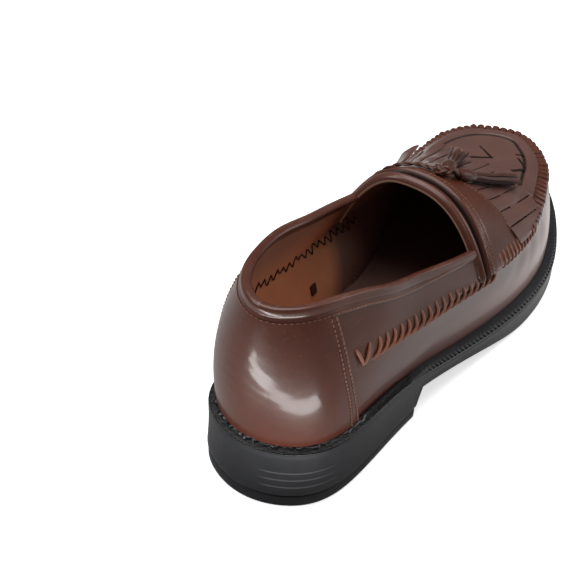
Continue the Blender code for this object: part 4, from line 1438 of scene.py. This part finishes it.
def weave_height(u, v):
    """Faint grooves between two families of flat woven strips, in strip widths
    along the two families. They fade out towards the toe."""
    from_u = np.abs(u - np.round(u))
    from_v = np.abs(v - np.round(v))
    groove = np.maximum(bell(from_u, 0, 0.06), bell(from_v, 0, 0.06))
    return -WEAVE_DIP * groove * (1 - smooth(u - v, 0.2, 1.4))


def make_slit_shadows():
    """Painted shadow in the slits where two woven strips part: near black thin
    wedges between two plan places on the plug, each with its two widths."""
    patches = []
    share = np.linspace(0, 1, 25)[:, None]
    for start, stop, first, last in WEAVE_SLIT_SHADOWS:
        ahead = unit(np.array(stop) - np.array(start))
        half = (first + (last - first) * share) / 2 * np.linspace(-1, 1, 5)
        x = start[0] + (stop[0] - start[0]) * share - ahead[1] * half
        along = start[1] + (stop[1] - start[1]) * share + ahead[0] * half
        turn, level = vamp_places(x, along)
        # Each wedge is a near black sheet of painted shadow over the plug.
        patches += shell(turn, level, WEAVE_TOP + 0.12, WEAVE_TOP - 0.5, {"fold": 1.0})
    add_piece("weave_slit_shadows", patches, [LEATHER], [])


def make_weave():
    """Woven plug between the borders, from under the fringe to the toe: a sheet
    whose rows run from the medial to the lateral edge of the plug."""
    lateral = plug_edge(1, PLUG_INSET)
    medial = plug_edge(-1, -PLUG_INSET)
    front = min(lateral[1].max(), medial[1].max()) - 0.05
    across = np.linspace(0, 1, 171)[:, None]
    along = WEAVE_REAR + (front - WEAVE_REAR) * (1 - (1 - across) ** 1.3)
    right = np.interp(along, *lateral[::-1])
    left = np.interp(along, *medial[::-1])
    x = left + (right - left) * np.linspace(0, 1, 151)
    angle = np.radians(WEAVE_ANGLE)
    aside = (x - WEAVE_CORNER[0]) / WEAVE_STRIP
    ahead = (along - WEAVE_CORNER[1]) / WEAVE_STRIP
    u = aside * np.cos(angle) + ahead * np.sin(angle)
    v = aside * np.sin(angle) - ahead * np.cos(angle)
    height = weave_height(u, v)
    turn, level = vamp_places(x, along + 0 * x)
    # A groove along the border's inner edge, with painted shade in it.
    groove = bell((level - 1) * rib_reach(turn), BORDER_INSET + BORDER_WIDTH + 0.4, 0.8)
    height = height * (1 - groove) - 0.9 * groove
    patches = shell(turn, level, WEAVE_TOP + height, -0.6, {"fold": groove})
    add_piece("woven_plug", patches, [VAMP_SHEEN_LEATHER], ["woven_panel"])


# Fringe, lace, knot and tassels.


def make_fringe():
    """Fringed tongue: separate flat strips side by side, straight ahead from under
    the strap, with thin slits between them and ends cut on the slant and stepped.
    The outer ones lie over the puckers and end at the seam."""
    number = np.arange(KILTIE_STRIPS)
    width = (KILTIE_SPAN[1] - KILTIE_SPAN[0]) / KILTIE_STRIPS
    u = np.linspace(0, 1, 9)
    x = KILTIE_SPAN[0] + width * (number[:, None] + KILTIE_SLIT / 2 + (1 - KILTIE_SLIT) * u)
    slant = np.where(number % 2 == 0, KILTIE_SLANT, -KILTIE_SLANT)[:, None] * (u - 0.5)
    end = (KILTIE_END - KILTIE_STEP * (number % 2) + 1.5 * np.sin(3.7 * number))[:, None] + slant
    for side in (1, -1):
        edge_x, edge_along = plug_edge(side, side * 1.5)
        ahead = edge_along > 190
        limit = np.interp(side * x, side * edge_x[ahead][::-1], edge_along[ahead][::-1])
        end = np.minimum(end, limit)
    start = STRAP_FRONT[0] - 5 - STRAP_FRONT[1] * x**2
    v = np.linspace(0, 1, 41)[:, None]
    along = start[:, None, :] + (end - start)[:, None, :] * v
    x = x[:, None, :] + 0 * along
    for side in (1, -1):
        edge_x, edge_along = plug_edge(side, side * 0.4)
        x = side * np.minimum(side * x, side * np.interp(along, edge_along, edge_x))
    turn, level = vamp_places(x, along)
    curl = np.interp(number, *KILTIE_CURL)[:, None, None]
    roll = 0.2 * np.sin(2.9 * number + 0.6)[:, None, None] * (2 * u - 1) * v
    on_weave = smooth(along, 185, 200) * smooth(level, 1.2, 1.35)
    on_seam = 1 - smooth(level, 1.1, 1.26)
    low = 0.35 + 1.1 * on_weave + 1.6 * on_seam + curl * v**3 + roll
    edge = np.minimum(u, 1 - u) * 5.0
    high = low + KILTIE * (0.75 + 0.25 * (1 - np.exp(-edge / 0.3)))
    bottom = offset_face(turn, level, low)
    top = offset_face(turn, level, high)
    patches = [(top, {}, 0), (bottom, {}, 0)]
    # Painted shade on the strips' side and end faces.
    for edge in (0, -1):
        patches.append((np.stack([bottom[:, edge], top[:, edge]], axis=1), {"fold": 0.5}, 0))
        patches.append((np.stack([bottom[:, :, edge], top[:, :, edge]], axis=1), {"fold": 0.5}, 0))
    add_piece("fringe_strips", patches, [VAMP_SHEEN_LEATHER], ["kiltie"])


def vamp_path(x, along, offset):
    """Points over the vamp at plan places, out by the offsets, with the normals."""
    turn, level = vamp_places(x, along)
    return offset_face(turn, level, offset), last_normal(turn, level)


def make_lace():
    """Lace on the strap from its medial end to the knot: two strands wound round
    each other, each a helix about the middle line."""
    x = np.linspace(*LACE_SPAN, 61)
    path, up = vamp_path(x, LACE_ALONG + 4.5 * smooth(x, -16, -2), np.full(x.shape, STRAP + 1.5))
    ahead = unit(np.gradient(path, axis=0))
    side = np.cross(up, ahead)
    angle = 2 * np.pi * np.linspace(0, LACE_WINDS, len(x))[:, None]
    patches = []
    for turn_by in (0, np.pi):
        strand = path + 0.8 * side * np.cos(angle + turn_by) + 0.5 * up * np.sin(angle + turn_by)
        patches.append((tubes(strand, up, 1.25, 0.6, 8), {}, 0))
    add_piece("lace_strands", patches, [TASSEL_LEATHER], ["lace"])


def make_knot():
    """Knot of the lace: a flat strand along a flattened trefoil curve that lies on
    the strap's top."""
    centre, _ = vamp_path(np.array([KNOT_PLACE[0]]), KNOT_PLACE[1], np.array([STRAP + 3.4]))
    t = np.linspace(0, 2 * np.pi, 121)
    loop = stacked(np.sin(t) + 2 * np.sin(2 * t), np.cos(t) - 2 * np.cos(2 * t), -np.sin(3 * t))
    path = centre + loop * np.array(KNOT_SCALE)
    strand = tubes(path, np.array([0.0, 0.15, 1.0]), 1.3, 0.85, 10)[1:-1]
    strand[-1] = strand[0]
    add_piece("knot_strand", [(strand, {}, 0)], [TASSEL_LEATHER], ["tassel_knot"])


def make_tassel(name, start, end, lift, seed, frayed):
    """Tassel lying on the fringe: a wound neck, a collar band and a bundle of cut
    strips. A strip follows the middle line at its own place in an oval section
    that opens towards the ends, with a small sway of its own."""
    share = np.linspace(0, 1, 41)
    plan = np.array(start) + (np.array(end) - np.array(start)) * share[:, None]
    half = np.interp(share, *np.array(TASSEL_HALF).T)
    lying = KILTIE + 0.7 + smooth(plan[:, 1], 183, 200) + half * TASSEL_FLAT
    path, up = vamp_path(plan[:, 0], plan[:, 1], np.maximum(lying, lift * (1 - share / 0.3)))
    band = (share > 0.1) & (share < 0.36)
    collar_half = half[band] * (1 + 0.08 * np.cos(np.linspace(-3, 3, band.sum())))
    collar = tubes(path[band], up[band], collar_half, collar_half * TASSEL_FLAT, 20)
    neck_part = share < 0.13
    neck = tubes(path[neck_part], up[neck_part], 1.9, 1.5, 12)
    random = np.random.default_rng(seed)
    # Nine strips lie outside, seven inside them and two in the middle.
    count = TASSEL_STRIPS
    ring = np.arange(count)
    angle = 2 * np.pi * ring / 9 + 0.35 * (ring // 9)
    out = np.where(ring < 9, 0.82, np.where(ring < 16, 0.5, 0.12))
    skirt = share > 0.32
    mid = path[skirt]
    ahead = unit(np.gradient(path, axis=0))[skirt]
    above = up[skirt]
    right = unit(np.cross(ahead, above))
    spread = half[skirt]
    v = np.linspace(0, 1, skirt.sum())
    sway = random.uniform(-1, 1, (count, 2)) * TASSEL_SWAY
    bend = v**2
    wide = spread * (out * np.cos(angle))[:, None] + sway[:, :1] * bend
    tall = spread * TASSEL_FLAT * (out * np.sin(angle))[:, None] + 0.6 * sway[:, 1:] * bend
    longer = random.uniform(-4.5, 1.5, count)[:, None] * v**2
    strips = mid + right * wide[..., None] + above * tall[..., None] + ahead * longer[..., None]
    face = above * np.sin(angle)[:, None, None] + right * np.cos(angle)[:, None, None]
    fringe = tubes(strips, face, STRIP_HALF[0] * (0.8 + 0.2 * v), STRIP_HALF[1], 8, 0.6)
    # Painted shade, darker on the lower strips of the bundle, plus a random darker tone of each strip of
    # its own.
    tone = 0.2 * (1 - np.sin(angle)) + 0.35 * random.uniform(0, 1, count)
    along = np.linspace(0, 1, fringe.shape[1])[:, None]
    even = np.ones(fringe.shape[:3])
    shade = {"fold": tone[:, None, None] * even, "trim": frayed * smooth(along, 0.8, 1.0) * even}
    patches = [(collar, {}, 0), (neck, {}, 0), (fringe, shade, 0)]
    add_piece(name + "_strips", patches, [TASSEL_LEATHER], [name])


# Sole, heel, welt and insole.


def fine_turns():
    """Turns round the sole with a column on both edges of the heel's breast."""
    ends = 1 - 2 * np.array([HEEL_LENGTH, HEEL_LENGTH + BREAST_SLOPE]) / LENGTH
    breast, waist = np.degrees(np.arccos(ends))
    half = np.concatenate([np.linspace(0, breast, 60), np.linspace(waist, 180, 120)])
    return np.concatenate([-half[:0:-1], half])


def make_outsole():
    """Unit sole: a raised bead at the foot of the upper, the rim, a rounded
    shoulder, the side wall and a chamfer down to the tread, with the arch, the
    toe spring and the heel block under it."""
    turns = fine_turns()
    _, edge_y = sole_edge(turns)
    heel = edge_y < HEEL_LENGTH + 0.5
    top = sole_top(edge_y)
    foot = np.where(heel, LIFT_TOP + GAP, arch_height(edge_y))
    rim = reveal(turns)
    rows = [(rim + inset, top + rise) for inset, rise in RIM_LEDGE]
    rows += [(inset + 0 * rim, top + rise) for inset, rise in RIM_SHOULDER]
    for share in np.linspace(0, 1, 9)[1:]:
        drop = foot + EDGE_CHAMFER - top + SHOULDER_DROP
        rows.append((SIDE_HOLLOW * np.sin(np.pi * share) + 0 * rim, top - SHOULDER_DROP + drop * share))
    rows += [(0.3 + 0 * rim, foot + 0.45), (EDGE_CHAMFER + 0 * rim, foot)]
    points = []
    for inset, height in rows:
        x, y = sole_edge(turns, inset)
        points.append(stacked(x, y, height))
    side = np.stack(points)
    shares = np.array([1.0, 0.8, 0.6, 0.4, 0.2, 0.0])[:, None]
    top_x, top_y = plan_disc(turns, shares, rim + 2.0)
    lid = stacked(top_x, top_y, sole_top(top_y) - 0.6)
    lid[0] = side[0]
    x, y = plan_disc(turns, shares, EDGE_CHAMFER)
    z = np.where(heel, LIFT_TOP + GAP, arch_height(y))
    hollow = BREAST_HOLLOW * bell(edge_y, HEEL_LENGTH, 25.0)
    bottom = stacked(x, y - hollow * (1 - shares**2), z)
    bottom[0] = side[-1]
    ledge_mark = np.zeros(side.shape[:2])
    ledge_mark[: len(RIM_LEDGE) + len(RIM_SHOULDER) - 1] = 1.0
    patches = [(side, {"ledge": ledge_mark}, 0), (lid, {}, 0), (bottom, {}, 0)]
    add_piece("sole_unit", patches, [RUBBER], ["outsole"])


def make_heel_lift():
    """Tread of the heel: its outline carried up, with both edges chamfered and the
    faces filled to the middle."""
    end = np.degrees(np.arccos(1 - 2 * HEEL_LENGTH / LENGTH))
    turns = np.linspace(-end, end, 121)
    across = np.linspace(1, -1, 31)[1:]
    rings = []
    for inset, height in TREAD_RINGS:
        x, y = sole_edge(turns, inset)
        front_x = (x[-1] + x[0]) / 2 + across * (x[-1] - x[0]) / 2
        front_y = y[-1] - BREAST_HOLLOW * (1 - across**2)
        rings.append(stacked(np.append(x, front_x), np.append(y, front_y), height))
    rings = np.stack(rings)
    patches = [(rings, {}, 0)]
    for ring in (rings[0], rings[-1]):
        share = np.array([1.0, 0.5, 0.0])[:, None, None]
        patches.append((ring.mean(axis=0) + (ring - ring.mean(axis=0)) * share, {}, 0))
    add_piece("heel_tread", patches, [RUBBER], ["heel_top_lift"])


def make_welt():
    """Storm welt on the rim from the waist round the toe: a low band whose outer
    face is cut by slanting notches, each a smooth valley along the band."""
    def edge(turn):
        """Plan points of the sole's edge."""
        return np.stack(sole_edge(turn), axis=-1)

    fine = 8
    count = fine * NOTCHES + 1
    turns = even_turns(edge, WELT_TURN, 360 - WELT_TURN, count)
    number = np.arange(count) / fine
    lean = WELT_LEAN * smooth(turns, 250, 280)
    from_end = np.minimum(turns - WELT_TURN, 360 - WELT_TURN - turns)
    grown = smooth(from_end, 0, WELT_TAPER)
    notched = smooth(from_end, 4, 4 + WELT_TAPER)
    inner = reveal(turns) - 0.4 - lean
    rows = [(inner, 0.1 + 0 * turns)]
    valleys = [0 * turns]
    for height in np.linspace(0, 1, 6):
        valley = np.abs(np.sin(np.pi * (number + 0.9 * height))) ** 0.4
        cut = notched * (1 - valley)
        rows.append((WELT_INSET + 0.5 * height + WELT_NOTCH * cut, 0.1 + WELT_HEIGHT * height * grown))
        valleys.append(cut)
    rows += [(WELT_INSET + 1.5 + 0 * turns, 0.1 + 2.75 * grown), (inner, 0.2 + 2.9 * grown)]
    valleys += [0 * turns, 0 * turns]
    points = []
    for inset, rise in rows:
        x, y = sole_edge(turns, inset)
        points.append(stacked(x, y, sole_top(y) + rise))
    section, patches = capped(np.stack(points))
    # Painted shade in the notches, darkest where they are cut deepest.
    fold = np.stack(valleys + valleys[:1])
    add_piece("welt_band", [(section, {"fold": fold}, 0)] + patches, [RUBBER], ["welt"])


def make_glue():
    """Uneven bead of glue between the upper and the rim round the heel: a tube
    along the upper's lower edge whose place, width and height wander."""
    first, last = GLUE_TURNS
    turn = np.linspace(first, last, GLUE_STEPS)
    knots = np.arange(0, GLUE_STEPS + GLUE_SPACING - 1, GLUE_SPACING)
    wander = np.random.default_rng(GLUE_SEED).uniform(0, 1, (3, len(knots)))
    out, wide, high = (np.interp(np.arange(GLUE_STEPS), knots, row) for row in wander)
    fade = smooth(turn, first, first + GLUE_FADE) * (1 - smooth(turn, last - GLUE_FADE, last))
    path = offset_face(turn, np.full(GLUE_STEPS, 0.012), 0.5 + 1.5 * out * fade)
    up = np.array([0.0, 0.0, 1.0])
    bead = tubes(path, up, 0.5 + (0.5 + wide) * fade, 0.35 + (0.4 + 0.9 * high) * fade, 8)
    add_piece("glue_bead", [(bead, {}, 0)], [GLUE], [])


def make_insole():
    """Insole: a pad that lifts towards its edge; leather under the heel, cloth in
    front of it."""
    turns = fine_turns()
    shares = np.linspace(1, 0, 13)[:, None]
    x, y = plan_disc(turns, shares, reveal(turns) + WALL + 0.15)
    rise = INSOLE_LIFT * shares**6
    low = stacked(x, y, sole_top(y) + GAP)
    high = stacked(x, y, sole_top(y) + GAP + INSOLE_THICKNESS + rise)
    patches = [(high, {}, 0), (low, {}, 0), (np.stack([low[0], high[0]]), {}, 0)]
    add_piece("insole_pad", patches, [INSOLE], ["insole"])


# The shoe.

make_upper()
make_counter()
make_collar_binding()
make_throat_lip()
make_strap()
make_lacing("laced_seam_lateral", "lacing_lateral", 1)
make_lacing("laced_seam_medial", "lacing_medial", -1)
make_inner_lacing()
make_inner_tab()
make_moc_seam()
make_border()
make_weave()
make_slit_shadows()
make_fringe()
make_lace()
make_knot()
for tassel in TASSELS:
    make_tassel(*tassel)
make_outsole()
make_heel_lift()
make_welt()
make_glue()
make_insole()


# Floor, light and camera.

# The floor is in metres, the camera in millimetres and its focus in picture points.
FLOOR_X = (-3.0, 3.0)
FLOOR_Y = (-3.0, 4.0)
FLOOR_POINTS = 9
CAMERA_AZIMUTH = 22.107
CAMERA_ELEVATION = 36.087
CAMERA_ROLL = 4.285
CAMERA_TARGET = (0.0, 150.0, 45.0)
CAMERA_DISTANCE = 611.29
CAMERA_ASIDE = (-56.734, -29.718)
CAMERA_FOCUS = 1219.69
PICTURE = 580.0
SENSOR = 36.0

# Each light: name, place, aim, width and depth, power, turn about the line to its aim
LIGHTS = (
    ("top_soft", (-0.2, 0.1, 1.6), (0.0, 0.0, 0.0), (1.7, 1.7), 36.0, 0.0),
    ("rear_left", (-0.9, -1.0, 0.9), (0.0, -0.1, 0.05), (0.5, 0.5), 6.0, 0.0),
    ("front_right", (1.1, 1.0, 0.6), (0.0, 0.05, 0.04), (1.2, 0.9), 7.0, 0.0),
    ("low_heel_left", (-0.030, -0.247, 0.006), (-0.030, -0.247, 1.0), (0.085, 0.034), 0.16, 23.0),
    ("low_heel_right", (0.053, -0.192, 0.006), (0.053, -0.192, 1.0), (0.125, 0.028), 0.15, 42.0),
)


def make_floor():
    """A flat sheet under the shoe whose near edge stays outside the view."""
    x = np.linspace(*FLOOR_X, FLOOR_POINTS)
    y = np.linspace(*FLOOR_Y, FLOOR_POINTS)[:, None]
    sheet = stacked(x, y, 0.0).reshape(-1, 3)
    index = np.arange(len(sheet)).reshape(FLOOR_POINTS, FLOOR_POINTS)
    ring = [index[:-1, :-1], index[:-1, 1:], index[1:, 1:], index[1:, :-1]]
    mesh = bpy.data.meshes.new("floor")
    mesh.from_pydata(sheet.tolist(), [], np.stack(ring, axis=-1).reshape(-1, 4).tolist())
    mesh.materials.append(pale_floor("pale_floor"))
    floor = bpy.data.objects.new("floor", mesh)
    bpy.context.scene.collection.objects.link(floor)


def area_light(name, place, aim, size, power, turned):
    """A rectangular soft light at a place, facing its aim and turned about the
    line to it by this angle."""
    data = bpy.data.lights.new(name, "AREA")
    data.shape = "RECTANGLE"
    data.size, data.size_y = size
    data.energy = power
    light = bpy.data.objects.new(name, data)
    back = unit(np.array(place) - np.array(aim))
    right = unit(np.cross([0.0, 0.0, 1.0], back) + np.array([1e-6, 0, 0]))
    above = np.cross(back, right)
    angle = -np.radians(turned)
    axes = np.eye(4)
    axes[:3, 0] = right * np.cos(angle) + above * np.sin(angle)
    axes[:3, 1] = above * np.cos(angle) - right * np.sin(angle)
    axes[:3, 2] = back
    axes[:3, 3] = place
    light.matrix_world = axes.T.tolist()
    light.visible_camera = False
    bpy.context.scene.collection.objects.link(light)


def make_camera():
    """The camera of the photograph: an orbit round a target, an aim moved in the
    picture plane, and a roll about the view."""
    azimuth, elevation, roll = np.radians([CAMERA_AZIMUTH, CAMERA_ELEVATION, CAMERA_ROLL])
    target = np.array(CAMERA_TARGET) - CENTRE
    back = np.array([
        np.sin(azimuth) * np.cos(elevation),
        -np.cos(azimuth) * np.cos(elevation),
        np.sin(elevation),
    ])
    right = np.array([np.cos(azimuth), np.sin(azimuth), 0.0])
    place = target + back * CAMERA_DISTANCE
    aim = target + right * CAMERA_ASIDE[0] + np.cross(back, right) * CAMERA_ASIDE[1]
    axis = unit(place - aim)
    level = unit(np.cross([0.0, 0.0, 1.0], axis))
    above = np.cross(axis, level)
    axes = np.eye(4)
    axes[:3, 0] = level * np.cos(roll) + above * np.sin(roll)
    axes[:3, 1] = -level * np.sin(roll) + above * np.cos(roll)
    axes[:3, 2] = axis
    axes[:3, 3] = place * MM
    data = bpy.data.cameras.new("camera")
    data.sensor_width = SENSOR
    data.lens = SENSOR * CAMERA_FOCUS / PICTURE
    data.clip_start = 0.01
    camera = bpy.data.objects.new("camera", data)
    camera.matrix_world = axes.T.tolist()
    bpy.context.scene.collection.objects.link(camera)
    bpy.context.scene.camera = camera


def make_world(colour):
    """Dim even light from all round, behind a white backdrop."""
    world = bpy.data.worlds.new("studio")
    world.use_nodes = True
    tree = world.node_tree
    sky = tree.nodes["Background"]
    direct = add(tree, "ShaderNodeLightPath").outputs["Is Camera Ray"]
    put(tree, sky.inputs["Color"], blend(tree, direct, rgba(colour), grey(1.0)))
    bpy.context.scene.world = world


bpy.context.scene.view_settings.view_transform = "Standard"
make_floor()
for light in LIGHTS:
    area_light(*light)
make_world(STUDIO)
make_camera()
